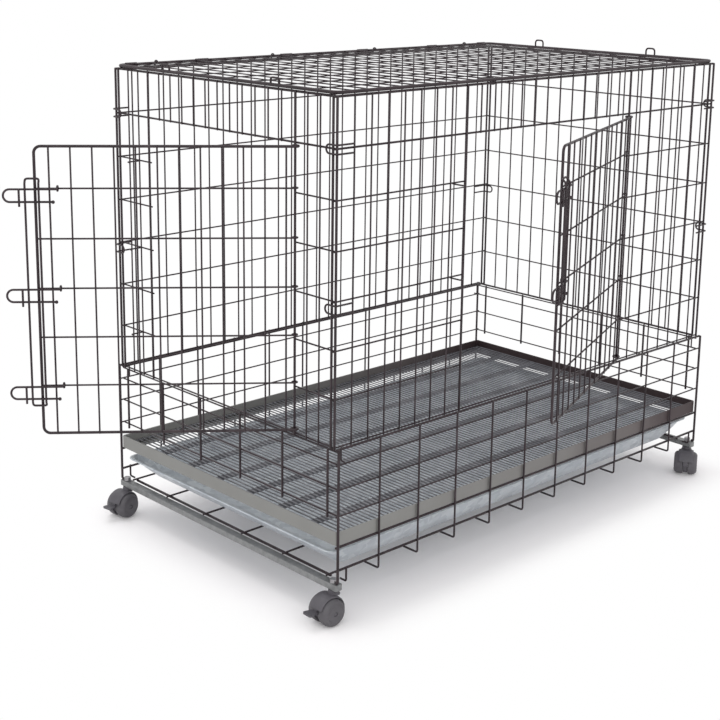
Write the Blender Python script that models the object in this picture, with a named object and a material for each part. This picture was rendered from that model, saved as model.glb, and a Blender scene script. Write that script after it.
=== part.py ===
"""Wire dog cage on casters, in metres, with +Z up.

The origin is on the floor, in the middle of the plan. X runs along the long
side, Y along the short side. The doorway side is -Y and the end doorway is -X.
"""

import math

import bmesh
import bpy
from mathutils import Matrix, Vector

# Sizes of the whole cage
LENGTH = 0.861
WIDTH = 0.505
WALL_TOP = 0.728
WALL_FOOT = 0.2524
LEVEL_COUNT = 7
LOW_WIDER = 0.018
LOW_WIDTH = WIDTH + LOW_WIDER

# Wires and clearances
GAP = 0.0003
THIN = 0.00125
STOUT = 0.0015
THICK = 0.002
RIM = 0.0025
LAYER = 2 * THIN + GAP
LOW_LAYER = THIN + STOUT + GAP
PAST = 0.0013

# Upper walls
END_INSET = 0.0075
BACK_SPACES = 29
SIDE_SPACES = (8, 13, 8)
END_SPACES = (3, 12, 3)
END_WALL_SPACES = 17
FOOT_INSET = 0.0125

# Low walls and base
LOW_SPACES = 11
LOW_RAILS = (0.230, 0.194, 0.156)
GRILLE_RAIL = 0.1107
TRAY_RAIL = 0.0765
HOOK_LEVEL = 0.0585
HOOK_REACH = 0.0285
SHORT_HOOK_INSET = 0.016
SHORT_HOOK_REACH = 0.0125
CORNER_FOOT_REACH = 0.0045
LOW_END_X = LENGTH / 2 - 0.0005
LOW_END_POSTS = 6
LOW_END_MARGIN = 0.02275
LOW_END_PITCH = (LOW_WIDTH - 2 * LOW_END_MARGIN) / (LOW_END_POSTS - 1)
LOW_END_TAIL = 0.006
RUNNER_COUNT = 6
RUNNER_Y = LOW_WIDTH / 2 - 0.0265
RUNNER_PITCH = 2 * RUNNER_Y / (RUNNER_COUNT - 1)
RUNNER_LEVEL = HOOK_LEVEL + 2 * STOUT + GAP
RUNNER_PAST = 0.009
CROSS_X = LENGTH / 2 - 0.0115
CROSS_REACH = RUNNER_Y + 0.001
BAR_X = LENGTH / 2 - 0.0025
BAR_WIDE = 0.013
BAR_HIGH = 0.009
BAR_REACH = LOW_WIDTH / 2 + 0.001

# Grille and tray
FRAME_X = LENGTH / 2 + GAP
FRAME_Y = LOW_WIDTH / 2 - 0.0025
FRAME_HIGH = 0.020
FRAME_FLANGE = 0.018
FRAME_SHEET = 0.002
BAR_COUNT = 100
BAR_THICK = 0.003
SUPPORT_WIDE = 0.012
SUPPORT_THICK = 0.003
SUPPORT_COUNT = 6
SUPPORT_MARGIN = 0.0765
SUPPORT_PITCH = 2 * (FRAME_Y - SUPPORT_MARGIN) / (SUPPORT_COUNT - 1)
TRAY_RIM_X = LENGTH / 2 + 0.0015
TRAY_RIM_Y = LOW_WIDTH / 2 - 0.0135
TRAY_END_SLOPE = 0.036
TRAY_SIDE_SLOPE = 0.020
TRAY_HIGH = 0.0442
TRAY_LIP = 0.005
TRAY_SHEET = 0.0012

# Roof
ROOF_CORNER = 0.012
LOOP_HALF = 0.009
LOOP_HIGH = 0.013
LOOP_BEND = 0.003

# Doors and bolts
DOOR_RISE = 0.007
DOOR_TOP_DROP = 0.0046
DOOR_CORNER = 0.014
END_DOOR_WIDE = 0.343
END_DOOR_OPEN = 51
END_DOOR_LAP = 0.006
END_DOORWAY_MIDDLE = -0.0015
END_JAMB_HINGE = END_DOORWAY_MIDDLE - (END_DOOR_WIDE - END_DOOR_LAP) / 2
END_JAMB_FREE = END_DOORWAY_MIDDLE + (END_DOOR_WIDE - END_DOOR_LAP) / 2
SIDE_DOOR_WIDE = 0.375
SIDE_DOOR_OPEN = 22
SIDE_DOOR_SPARE = 0.006
SIDE_DOORWAY_MIDDLE = 0.007
SIDE_JAMB_HINGE = SIDE_DOORWAY_MIDDLE + (SIDE_DOOR_WIDE + SIDE_DOOR_SPARE) / 2
SIDE_JAMB_FREE = SIDE_DOORWAY_MIDDLE - (SIDE_DOOR_WIDE + SIDE_DOOR_SPARE) / 2
DOOR_PITCH = 0.0285
DOOR_FIRST = 0.012
DOOR_LAST = 0.019
BOLT_TALL = 0.017
BOLT_OUT = 0.041
BOLT_IN = 0.024
THUMB_OUT = 0.020
KEEPER_OUT = 0.028
KEEPER_LIP = 0.005
END_BOLT_LEVELS = (2, 4, 6)
SIDE_BOLT_LEVELS = (2, 4)

# Casters
STEM_X = BAR_X
STEM_Y = LOW_WIDTH / 2 - 0.011
STEM_RADIUS = 0.004
NUT_RADIUS = 0.0058
STEM_LOW = 0.0428
BORE_LOW = 0.0423
NECK_LOW = 0.0404
NECK_RADIUS = 0.0075
WHEEL_RADIUS = 0.020
WHEEL_WIDE = 0.0155
WHEEL_GAP = 0.0045
AXLE_RADIUS = 0.003
TRAIL = 0.012
LEVER_OUT = 0.0235
LEVER_HEIGHT = 0.0235
SWIVELS = (
    ("near", -1, -1, 178),
    ("left", -1, 1, 190),
    ("right", 1, -1, 212),
    ("far", 1, 1, 60),
)


def level(number):
    """Height of a wall level, where 0 is the top rail and 7 the bottom one."""
    return WALL_TOP - number * (WALL_TOP - WALL_FOOT) / LEVEL_COUNT


def clear_scene():
    """Removes what the scene holds at the start."""
    for thing in list(bpy.data.objects):
        bpy.data.objects.remove(thing)


def make_material(name, colour, roughness, metallic):
    """A plain surface of one colour."""
    made = bpy.data.materials.new(name)
    made.use_nodes = True
    shader = made.node_tree.nodes["Principled BSDF"]
    shader.inputs["Base Color"].default_value = (*colour, 1.0)
    shader.inputs["Roughness"].default_value = roughness
    shader.inputs["Metallic"].default_value = metallic
    return made


def dark_wire(name):
    """Dark brown-black coating of the wires."""
    return make_material(name + "_coat", (0.045, 0.032, 0.030), 0.42, 0.35)


def add_object(name, mesh_work, material):
    """Turns the work mesh into an object with its own material."""
    bmesh.ops.recalc_face_normals(mesh_work, faces=mesh_work.faces)
    mesh = bpy.data.meshes.new(name)
    mesh_work.to_mesh(mesh)
    mesh_work.free()
    thing = bpy.data.objects.new(name, mesh)
    bpy.context.scene.collection.objects.link(thing)
    if material:
        mesh.materials.append(material)
    return thing


def join_to(thing, other_work, operation="UNION"):
    """Joins another mesh to the object, or cuts it out, with a Boolean."""
    label = thing.name + "_" + operation.lower() + str(len(thing.modifiers))
    other = add_object(label, other_work, None)
    other.hide_render = True
    other.display_type = "WIRE"
    other.parent = thing
    boolean = thing.modifiers.new(operation.title(), "BOOLEAN")
    boolean.operation = operation
    boolean.solver = "EXACT"
    boolean.object = other


def place(thing, spot, turn=0.0, parent=None):
    """Sets the object down, turned about Z by so many degrees."""
    thing.location = spot
    thing.rotation_euler = (0.0, 0.0, math.radians(turn))
    thing.parent = parent


def wire(work, path, radius, facing, closed=False):
    """Adds a four-sided wire along the path, mitred at its bends.

    One edge of the wire looks to the facing direction.
    """
    points = [Vector(point) for point in path]
    count = len(points)
    spans = count if closed else count - 1
    heads = []
    for index in range(spans):
        step = points[(index + 1) % count] - points[index]
        heads.append(step.normalized())
    first = heads[0]
    outward = Vector(facing)
    outward = (outward - first * outward.dot(first)).normalized()
    across = first.cross(outward)
    ring = [
        points[0] + outward * radius,
        points[0] + across * radius,
        points[0] - outward * radius,
        points[0] - across * radius,
    ]
    if closed:
        ring = slide(ring, points[0], first, heads[-1] + first)
    loops = [[work.verts.new(corner) for corner in ring]]
    for index in range(1, count):
        before = heads[index - 1]
        after = heads[index] if index < spans else before
        ring = slide(ring, points[index], before, before + after)
        loops.append([work.verts.new(corner) for corner in ring])
    for index in range(spans):
        here = loops[index]
        there = loops[(index + 1) % count]
        for side in range(4):
            turned = (side + 1) % 4
            work.faces.new((here[side], here[turned], there[turned], there[side]))
    if not closed:
        work.faces.new(loops[0])
        work.faces.new(reversed(loops[-1]))


def slide(ring, point, along, normal):
    """Moves the ring's corners along a direction onto a plane."""
    reach = along.dot(normal)
    return [corner + along * ((point - corner).dot(normal) / reach) for corner in ring]


def arc(centre, radius, start, end, steps, plane):
    """Points on an arc; plane gives the two directions it turns in."""
    one = Vector(plane[0])
    two = Vector(plane[1])
    made = []
    for index in range(steps + 1):
        angle = math.radians(start + (end - start) * index / steps)
        made.append(Vector(centre) + radius * (math.cos(angle) * one + math.sin(angle) * two))
    return made


def box(work, low, high):
    """Adds a box between two corners."""
    size = Vector(high) - Vector(low)
    middle = (Vector(high) + Vector(low)) / 2
    matrix = Matrix.Translation(middle) @ Matrix.Diagonal((*size, 1.0))
    bmesh.ops.create_cube(work, size=1.0, matrix=matrix)


def prism(work, outline, low, high, axis="Z"):
    """Adds a straight solid with the outline; axis Y stands it up."""
    loops = []
    for height in (low, high):
        if axis == "Z":
            corners = [work.verts.new((u, v, height)) for u, v in outline]
        else:
            corners = [work.verts.new((u, height, v)) for u, v in outline]
        loops.append(corners)
    count = len(outline)
    for index in range(count):
        after = (index + 1) % count
        work.faces.new((loops[0][index], loops[0][after], loops[1][after], loops[1][index]))
    work.faces.new(reversed(loops[0]))
    work.faces.new(loops[1])


def circle(radius, sides, middle=(0.0, 0.0)):
    """Outline of a round shape."""
    made = []
    for index in range(sides):
        angle = 2 * math.pi * index / sides
        made.append((middle[0] + radius * math.cos(angle), middle[1] + radius * math.sin(angle)))
    return made


def post(work, x, low, high, radius):
    """Upright wire in a wall."""
    wire(work, [(x, 0, low), (x, 0, high)], radius, (0, 1, 0))


def rail(work, z, left, right, radius, layer=LAYER):
    """Level wire in a wall, on its inner side."""
    wire(work, [(left, layer, z), (right, layer, z)], radius, (0, -1, 0))


def spaced(start, end, spaces):
    """Positions between the two ends, ends left out."""
    return [start + (end - start) * index / spaces for index in range(1, spaces)]


def doorway_wall(half, jambs, spaces, keeper, bolts):
    """Upper wall with a doorway between the two jambs."""
    posts = bmesh.new()
    rails = bmesh.new()
    low = level(LEVEL_COUNT) - PAST
    high = level(0) + PAST
    for x in (-half, half, *jambs):
        post(posts, x, low, high, THICK)
    for x in spaced(-half, jambs[0], spaces[0]) + spaced(jambs[1], half, spaces[2]):
        post(posts, x, low, high, THIN)
    for x in spaced(jambs[0], jambs[1], spaces[1]):
        post(posts, x, level(1) - PAST, high, THIN)
    reach = half + THICK
    for number in (0, 1, LEVEL_COUNT):
        rail(rails, level(number), -reach, reach, THICK)
    for number in range(2, LEVEL_COUNT):
        rail(rails, level(number), -reach, jambs[0] + THICK, THIN)
        rail(rails, level(number), jambs[1] - THICK, reach, THIN)
    for number in bolts:
        keeper_hook(posts, keeper[0], keeper[1], level(number) + DOOR_RISE - BOLT_TALL / 2)
    return posts, rails


def keeper_hook(work, x, toward, z):
    """Hook on the wall that holds a bolt; its lip points to the door."""
    out = -(bolt_plane() + 2 * STOUT + GAP + STOUT + THIN)
    path = [(x, LAYER + PAST, z), (x, out, z), (x + toward * KEEPER_LIP, out, z)]
    wire(work, path, THIN, (0, 0, 1))


def bolt_plane():
    """Distance of the bolts' wires from the door's hinge plane."""
    return door_upright_plane() + THICK + GAP + STOUT


def door_rail_plane():
    """Distance of the door's level wires from the hinge plane."""
    return THICK + GAP + THIN


def door_upright_plane():
    """Distance of the door's upright wires from the hinge plane."""
    return door_rail_plane() + LAYER


def upper_front():
    """Upper long wall with the side doorway."""
    half = LENGTH / 2
    keeper = (SIDE_JAMB_HINGE - SIDE_DOOR_WIDE - KEEPER_OUT, 1)
    jambs = (SIDE_JAMB_FREE, SIDE_JAMB_HINGE)
    posts, rails = doorway_wall(half, jambs, SIDE_SPACES, keeper, SIDE_BOLT_LEVELS)
    add_feet(posts)
    wall = add_object("upper_wall_front", posts, dark_wire("upper_wall_front"))
    join_to(wall, rails)
    place(wall, (0, -WIDTH / 2, 0))


def add_feet(work):
    """Two short legs that stand on the low wall's upper wire."""
    top = level(LEVEL_COUNT) + PAST
    rest = LOW_RAILS[0] + 2 * THIN + GAP
    out = -(LOW_WIDTH - WIDTH) / 2 + LOW_LAYER - THIN
    for side in (-1, 1):
        x = side * (LENGTH / 2 - FOOT_INSET)
        wire(work, [(x, 0, top), (x, 0, rest), (x, out, rest)], THIN, (0, 1, 0))


def upper_back():
    """Upper long wall without a doorway; its eyes carry the roof."""
    half = LENGTH / 2
    posts = bmesh.new()
    rails = bmesh.new()
    low = level(LEVEL_COUNT) - PAST
    high = level(0) + PAST
    for x in (-half, half):
        post(posts, x, low, high, THICK)
    for x in spaced(-half, half, BACK_SPACES):
        post(posts, x, low, high, THIN)
    for number in range(LEVEL_COUNT + 1):
        radius = THICK if number in (0, LEVEL_COUNT) else THIN
        rail(rails, level(number), -half - THICK, half + THICK, radius)
    add_feet(posts)
    for x in roof_eye_places():
        eye = arc((x, LAYER, roof_level()), RIM + GAP + THIN, 180, -10, 7, ((0, 1, 0), (0, 0, 1)))
        start = [Vector((x, LAYER - THICK, level(0) - THICK)), Vector((x, -THIN, roof_level() - RIM))]
        wire(posts, start + eye, THIN, (1, 0, 0))
    wall = add_object("upper_wall_back", posts, dark_wire("upper_wall_back"))
    join_to(wall, rails)
    place(wall, (0, WIDTH / 2, 0), 180)


def roof_eye_places():
    """Where the four roof eyes stand, halfway between two uprights."""
    pitch = LENGTH / BACK_SPACES
    return [pitch * number for number in (-12, -4, 4, 12)]


def upper_left():
    """Upper end wall with the end doorway."""
    half = WIDTH / 2 - END_INSET
    jambs = (-END_JAMB_FREE, -END_JAMB_HINGE)
    keeper = (-(END_JAMB_HINGE + END_DOOR_WIDE + KEEPER_OUT), 1)
    posts, rails = doorway_wall(half, jambs, END_SPACES, keeper, END_BOLT_LEVELS)
    wall = add_object("upper_wall_left", posts, dark_wire("upper_wall_left"))
    join_to(wall, rails)
    place(wall, (-LENGTH / 2, 0, 0), -90)


def upper_right():
    """Upper end wall without a doorway."""
    half = WIDTH / 2 - END_INSET
    posts = bmesh.new()
    rails = bmesh.new()
    low = level(LEVEL_COUNT) - PAST
    high = level(0) + PAST
    for x in (-half, half):
        post(posts, x, low, high, THICK)
    for x in spaced(-half, half, END_WALL_SPACES):
        post(posts, x, low, high, THIN)
    for number in range(LEVEL_COUNT + 1):
        radius = THICK if number in (0, LEVEL_COUNT) else THIN
        rail(rails, level(number), -half - THICK, half + THICK, radius)
    wall = add_object("upper_wall_right", posts, dark_wire("upper_wall_right"))
    join_to(wall, rails)
    place(wall, (LENGTH / 2, 0, 0), 90)


def corner_clips():
    """Hairpin clips that hold the upper walls together at the corners."""
    skin = THICK + GAP + THIN
    for corner, (along, side) in enumerate(((-1, -1), (-1, 1), (1, -1), (1, 1))):
        for row, middle in enumerate((level(1), level(4) - 0.0098)):
            work = bmesh.new()
            x = LENGTH / 2
            y = WIDTH / 2
            path = []
            for z in (0.0065, -0.0065):
                prong = [
                    (x - 0.002, y - END_INSET - skin, z),
                    (x + skin, y - END_INSET - skin, z),
                    (x + skin, y + skin, z),
                    (x - 0.013, y + skin, z),
                ]
                path.append(prong)
            bend = arc((x - 0.013, y + skin, 0), 0.0065, 90, 270, 4, ((1, 0, 0), (0, 0, 1)))
            full = path[0] + bend[1:-1] + path[1][::-1]
            wire(work, full, THIN, (0, 0, 1))
            bmesh.ops.scale(work, vec=(along, side, 1), verts=work.verts)
            name = "corner_clip_" + str(2 * corner + row + 1)
            clip = add_object(name, work, dark_wire(name))
            place(clip, (0, 0, middle))


def low_long_wall(name, side):
    """Low long wall, whose uprights end in hooks under the tray."""
    half = LENGTH / 2
    posts = bmesh.new()
    rails = bmesh.new()
    foot = bar_top() + GAP + THICK
    for x in (-half, half):
        path = [(x, 0, WALL_FOOT + PAST), (x, 0, foot), (x, CORNER_FOOT_REACH, foot)]
        wire(posts, path, THICK, (0, 1, 0))
    for x in (-half + SHORT_HOOK_INSET, half - SHORT_HOOK_INSET):
        path = [(x, 0, TRAY_RAIL + PAST), (x, 0, HOOK_LEVEL), (x, SHORT_HOOK_REACH, HOOK_LEVEL)]
        wire(posts, path, STOUT, (0, 1, 0))
    for x in spaced(-half, half, LOW_SPACES):
        path = [(x, 0, WALL_FOOT + PAST), (x, 0, HOOK_LEVEL), (x, HOOK_REACH, HOOK_LEVEL)]
        wire(posts, path, STOUT, (0, 1, 0))
    for z in (WALL_FOOT, GRILLE_RAIL, TRAY_RAIL):
        rail(rails, z, -half - THICK, half + THICK, THICK, LOW_LAYER)
    for z in LOW_RAILS:
        rail(rails, z, -half - THICK, half + THICK, THIN, LOW_LAYER)
    wall = add_object(name, posts, dark_wire(name))
    join_to(wall, rails)
    place(wall, (0, side * LOW_WIDTH / 2, 0), 0 if side < 0 else 180)


def bar_top():
    """Height of the base bars' upper face."""
    return RUNNER_LEVEL - LAYER - THICK - GAP


def low_end_wall(name, side):
    """Low end wall, open below for the tray."""
    half = LOW_WIDTH / 2 - LOW_LAYER - THICK - GAP
    reach = half
    top = WALL_FOOT - 2 * THICK - GAP
    foot = LOW_RAILS[-1] - LOW_END_TAIL
    posts = bmesh.new()
    rails = bmesh.new()
    for number in range(LOW_END_POSTS):
        y = (number - (LOW_END_POSTS - 1) / 2) * LOW_END_PITCH
        post(posts, y, foot, top + PAST, THICK)
    rail(rails, top, -reach, reach, THICK, LOW_LAYER)
    for z in LOW_RAILS:
        rail(rails, z, -reach, reach, THIN, LOW_LAYER)
    wall = add_object(name, posts, dark_wire(name))
    join_to(wall, rails)
    place(wall, (side * LOW_END_X, 0, 0), -90 if side < 0 else 90)


def grille_frame_top():
    """Height of the grille frame's upper edge."""
    return GRILLE_RAIL + THICK + GAP + FRAME_HIGH


def tray_rails():
    """Runners that carry the tray, with a cross wire at each end."""
    runners = bmesh.new()
    crosses = bmesh.new()
    for number in range(RUNNER_COUNT):
        y = (number - (RUNNER_COUNT - 1) / 2) * RUNNER_PITCH
        reach = CROSS_X + RUNNER_PAST
        wire(runners, [(-reach, y, 0), (reach, y, 0)], STOUT, (0, 0, 1))
    for side in (-1, 1):
        path = [(side * CROSS_X, -CROSS_REACH, -LAYER), (side * CROSS_X, CROSS_REACH, -LAYER)]
        wire(crosses, path, THICK, (0, 0, 1))
    made = add_object("tray_rails", runners, dark_wire("tray_rails"))
    join_to(made, crosses)
    place(made, (0, 0, RUNNER_LEVEL))


def base_metal(name):
    """Grey steel of the base bars."""
    return make_material(name + "_steel", (0.33, 0.31, 0.30), 0.45, 0.7)


def base_parts():
    """Bars across the ends, which the casters are bolted through."""
    for name, side in (("left", -1), ("right", 1)):
        work = bmesh.new()
        box(work, (-BAR_WIDE / 2, -BAR_REACH, -BAR_HIGH), (BAR_WIDE / 2, BAR_REACH, 0))
        label = "base_bar_" + name
        bar = add_object(label, work, base_metal(label))
        holes = bmesh.new()
        for end in (-1, 1):
            spot = (side * (STEM_X - BAR_X), end * STEM_Y)
            prism(holes, circle(STEM_RADIUS + GAP, 12, spot), -2 * BAR_HIGH, BAR_HIGH)
        join_to(bar, holes, "DIFFERENCE")
        place(bar, (side * BAR_X, 0, bar_top()))


def grille_frame():
    """Angle-steel frame, its level flange at the bottom."""
    work = bmesh.new()
    low = grille_frame_top() - FRAME_HIGH
    rings = (
        (0, 0),
        (0, FRAME_HIGH),
        (FRAME_SHEET, FRAME_HIGH),
        (FRAME_SHEET, FRAME_SHEET),
        (FRAME_FLANGE, FRAME_SHEET),
        (FRAME_FLANGE, 0),
    )
    loops = []
    for inset, rise in rings:
        x = FRAME_X - inset
        y = FRAME_Y - inset
        corners = ((-x, -y), (x, -y), (x, y), (-x, y))
        loops.append([work.verts.new((u, v, rise)) for u, v in corners])
    for index, here in enumerate(loops):
        there = loops[(index + 1) % len(loops)]
        for side in range(4):
            turned = (side + 1) % 4
            work.faces.new((here[side], here[turned], there[turned], there[side]))
    steel = make_material("grille_frame_steel", (0.27, 0.25, 0.24), 0.5, 0.6)
    frame = add_object("grille_frame", work, steel)
    place(frame, (0, 0, low))


def grille_bars():
    """Floor grille: many thin bars on six flat supports."""
    half_x = FRAME_X - FRAME_SHEET - GAP
    half_y = FRAME_Y - FRAME_SHEET - GAP
    floor = SUPPORT_THICK + GAP
    edge = 0.004
    work = bmesh.new()
    box(work, (-half_x, -half_y, floor), (half_x, half_y, floor + BAR_THICK))
    slots = bmesh.new()
    pitch = (2 * half_x - BAR_THICK) / (BAR_COUNT + 1)
    for index in range(BAR_COUNT + 1):
        start = -half_x + BAR_THICK + index * pitch
        stop = start + pitch - BAR_THICK
        box(slots, (start, -half_y + edge, 0), (stop, half_y - edge, 2 * floor + BAR_THICK))
    ends = bmesh.new()
    for side in (-1, 1):
        inner = side * (half_x - BAR_THICK)
        outer = side * (half_x - BAR_THICK * 0.1)
        reach = half_y - edge / 2
        low = (min(inner, outer), -reach, 0)
        box(ends, low, (max(inner, outer), reach, floor + BAR_THICK / 2))
    supports = bmesh.new()
    for number in range(SUPPORT_COUNT):
        y = (number - (SUPPORT_COUNT - 1) / 2) * SUPPORT_PITCH
        reach = half_x - BAR_THICK / 2
        low = (-reach, y - SUPPORT_WIDE / 2, 0.0001)
        box(supports, low, (reach, y + SUPPORT_WIDE / 2, SUPPORT_THICK))
    paint = make_material("grille_bars_coat", (0.06, 0.048, 0.045), 0.42, 0.4)
    grille = add_object("grille_bars", work, paint)
    join_to(grille, slots, "DIFFERENCE")
    join_to(grille, ends)
    join_to(grille, supports)
    place(grille, (0, 0, grille_frame_top() - FRAME_HIGH + FRAME_SHEET + GAP))


def tray():
    """Sheet pan with sloping sides and an outward lip."""
    work = bmesh.new()
    rise = TRAY_HIGH
    sheet = TRAY_SHEET
    rings = (
        (TRAY_LIP, 1, 0),
        (TRAY_LIP, 0, rise - sheet),
        (0, 0, rise - sheet),
        (0, 0, rise),
        (TRAY_LIP + sheet, 0, rise),
        (TRAY_LIP + sheet, 1, sheet),
    )
    loops = []
    for inset, slope, height in rings:
        x = TRAY_RIM_X - inset - slope * TRAY_END_SLOPE
        y = TRAY_RIM_Y - inset - slope * TRAY_SIDE_SLOPE
        corners = ((-x, -y), (x, -y), (x, y), (-x, y))
        loops.append([work.verts.new((u, v, height)) for u, v in corners])
    for here, there in zip(loops, loops[1:]):
        for side in range(4):
            turned = (side + 1) % 4
            work.faces.new((here[side], here[turned], there[turned], there[side]))
    work.faces.new(loops[0])
    work.faces.new(loops[-1])
    zinc = make_material("tray_zinc", (0.42, 0.46, 0.48), 0.35, 0.8)
    made = add_object("tray", work, zinc)
    place(made, (0, 0, RUNNER_LEVEL + STOUT + GAP))


def roof_level():
    """Height of the roof rim's centre."""
    return WALL_TOP + THICK + GAP + RIM


def roof():
    """Roof panel; its origin is on the back rim, which is the hinge."""
    half_x = LENGTH / 2 - LAYER
    deep = WIDTH - 2 * LAYER
    corner = ROOF_CORNER
    rim = bmesh.new()
    plane = ((1, 0, 0), (0, 1, 0))
    path = arc((half_x - corner, -corner, 0), corner, 0, 90, 3, plane)
    path += arc((-half_x + corner, -corner, 0), corner, 90, 180, 3, plane)
    path += arc((-half_x + corner, -deep + corner, 0), corner, 180, 270, 3, plane)
    path += arc((half_x - corner, -deep + corner, 0), corner, 270, 360, 3, plane)
    wire(rim, path, RIM, (0, 0, 1), closed=True)
    high = RIM + THIN - 0.0005
    long_wires = bmesh.new()
    for y in spaced(-deep, 0, 8):
        wire(long_wires, [(-half_x, y, high - LAYER), (half_x, y, high - LAYER)], THIN, (0, 0, 1))
    cross_wires = bmesh.new()
    for x in spaced(-half_x, half_x, BACK_SPACES):
        wire(cross_wires, [(x, -deep - PAST, high), (x, PAST, high)], THIN, (0, 0, 1))
    for side in (-1, 1):
        for y in (-0.75 * deep, -0.25 * deep):
            x = side * half_x
            high_end = LOOP_HIGH - LOOP_BEND
            top_end = LOOP_HALF - LOOP_BEND
            path = [(x, y - LOOP_HALF, 0), (x, y - LOOP_HALF, high_end), (x, y - top_end, LOOP_HIGH)]
            path += [(x, y + top_end, LOOP_HIGH), (x, y + LOOP_HALF, high_end), (x, y + LOOP_HALF, 0)]
            wire(cross_wires, path, STOUT, (1, 0, 0))
    made = add_object("roof", rim, dark_wire("roof"))
    join_to(made, long_wires)
    join_to(made, cross_wires)
    place(made, (0, WIDTH / 2 - LAYER, roof_level()))


def door_heights():
    """Heights of a door's level wires, from the top one down."""
    heights = [level(1) - DOOR_TOP_DROP]
    for number in range(2, LEVEL_COUNT + 1):
        heights.append(level(number) + DOOR_RISE)
    return heights


def door_uprights(wide):
    """Upright positions of a door: first and last stout, the rest between."""
    last = wide - DOOR_LAST
    count = round((last - DOOR_FIRST) / DOOR_PITCH)
    return [DOOR_FIRST, *spaced(DOOR_FIRST, last, count), last]


def hinge_curl(z, radius):
    """Wire end that turns round the hinge jamb."""
    centre_radius = THICK + GAP + radius
    plane = ((1, 0, 0), (0, 1, 0))
    return arc((0, 0, z), centre_radius, 90, 370, 8, plane)


def door(name, wide, spot, turn):
    """Door panel; its origin is on the hinge jamb's axis."""
    heights = door_heights()
    rails = bmesh.new()
    top = heights[0]
    low = heights[-1]
    plane_y = THICK + GAP + THICK
    turn_plane = ((1, 0, 0), (0, 0, 1))
    upper = arc((wide - DOOR_CORNER, plane_y, top - DOOR_CORNER), DOOR_CORNER, 0, 90, 3, turn_plane)
    lower = arc((wide - DOOR_CORNER, plane_y, low + DOOR_CORNER), DOOR_CORNER, 270, 360, 3, turn_plane)
    path = hinge_curl(low, THICK)[::-1] + lower + upper + hinge_curl(top, THICK)
    wire(rails, path, THICK, (0, 0, 1))
    for z in heights[1:-1]:
        start = [Vector((wide - THICK - GAP, door_rail_plane(), z))]
        wire(rails, start + hinge_curl(z, THIN), THIN, (0, 0, 1))
    uprights = bmesh.new()
    places = door_uprights(wide)
    for x in places:
        radius = THICK if x in (places[0], places[-1]) else THIN
        y = door_upright_plane()
        wire(uprights, [(x, y, low - PAST), (x, y, top + PAST)], radius, (0, 1, 0))
    made = add_object(name, rails, dark_wire(name))
    join_to(made, uprights)
    place(made, spot, turn)
    return made


def carrier(name, wide, bolts, parent):
    """Tall loop on the door's free edge that keeps its bolts in place."""
    work = bmesh.new()
    seat = 2 * THICK + GAP + THICK + GAP + STOUT
    out = bolt_plane() + STOUT + GAP + STOUT
    top = level(bolts[0]) + DOOR_RISE + 0.014
    low = level(bolts[-1]) + DOOR_RISE - BOLT_TALL - 0.010
    inner = wide - 0.006
    outer = wide + 0.012
    path = [
        (inner, out, low + 0.006),
        (inner, out, top - 0.006),
        (inner, seat, top),
        (outer, seat, top),
        (outer, out, top - 0.006),
        (outer, out, low + 0.006),
        (outer, seat, low),
        (inner, seat, low),
    ]
    wire(work, path, STOUT, (0, 1, 0), closed=True)
    made = add_object(name, work, dark_wire(name))
    place(made, (0, 0, 0), 0, parent)


def bolt(name, wide, number, parent):
    """Hairpin bolt; the upper leg's end curls round the door's level wire."""
    places = door_uprights(wide)
    end = (places[-1] + places[-2]) / 2 + 0.004
    high = level(number) + DOOR_RISE
    y = bolt_plane()
    radius = BOLT_TALL / 2
    curl_radius = THIN + GAP + STOUT
    curl_plane = ((0, 1, 0), (0, 0, 1))
    curl = arc((end, door_rail_plane(), 0), curl_radius, 0, 290, 7, curl_plane)
    nose = arc((wide + BOLT_OUT - radius, y, -radius), radius, 90, -90, 6, ((1, 0, 0), (0, 0, 1)))
    legs = curl[::-1] + [Vector((end, y, 0))] + nose + [Vector((wide - BOLT_IN, y, -BOLT_TALL))]
    work = bmesh.new()
    wire(work, legs, STOUT, (1, 0, 0))
    thumb = bmesh.new()
    x = wide + THUMB_OUT
    plane = y + 2 * STOUT - 0.0005
    wire(thumb, [(x, plane, PAST), (x, plane, -BOLT_TALL - 0.006)], STOUT, (0, -1, 0))
    knob = bmesh.new()
    spot = Matrix.Translation((wide - BOLT_IN, y + 0.0009, -BOLT_TALL))
    bmesh.ops.create_icosphere(knob, subdivisions=1, radius=0.0024, matrix=spot)
    made = add_object(name, work, dark_wire(name))
    join_to(made, thumb)
    join_to(made, knob)
    place(made, (0, 0, high), 0, parent)


def doors():
    """Both doors with their bolts and carriers, open as in use."""
    end_spot = (-LENGTH / 2, END_JAMB_HINGE, 0)
    end = door("end_door", END_DOOR_WIDE, end_spot, 90 + END_DOOR_OPEN)
    carrier("end_bolt_carrier", END_DOOR_WIDE, END_BOLT_LEVELS, end)
    for index, number in enumerate(END_BOLT_LEVELS):
        bolt("end_bolt_" + str(index + 1), END_DOOR_WIDE, number, end)
    side_spot = (SIDE_JAMB_HINGE, -WIDTH / 2, 0)
    side = door("side_door", SIDE_DOOR_WIDE, side_spot, 180 + SIDE_DOOR_OPEN)
    carrier("side_bolt_carrier", SIDE_DOOR_WIDE, SIDE_BOLT_LEVELS, side)
    for index, number in enumerate(SIDE_BOLT_LEVELS):
        bolt("side_bolt_" + str(index + 1), SIDE_DOOR_WIDE, number, side)


def caster_plastic(name):
    """Dark grey plastic of the casters."""
    return make_material(name + "_plastic", (0.075, 0.070, 0.080), 0.5, 0.0)


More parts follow.
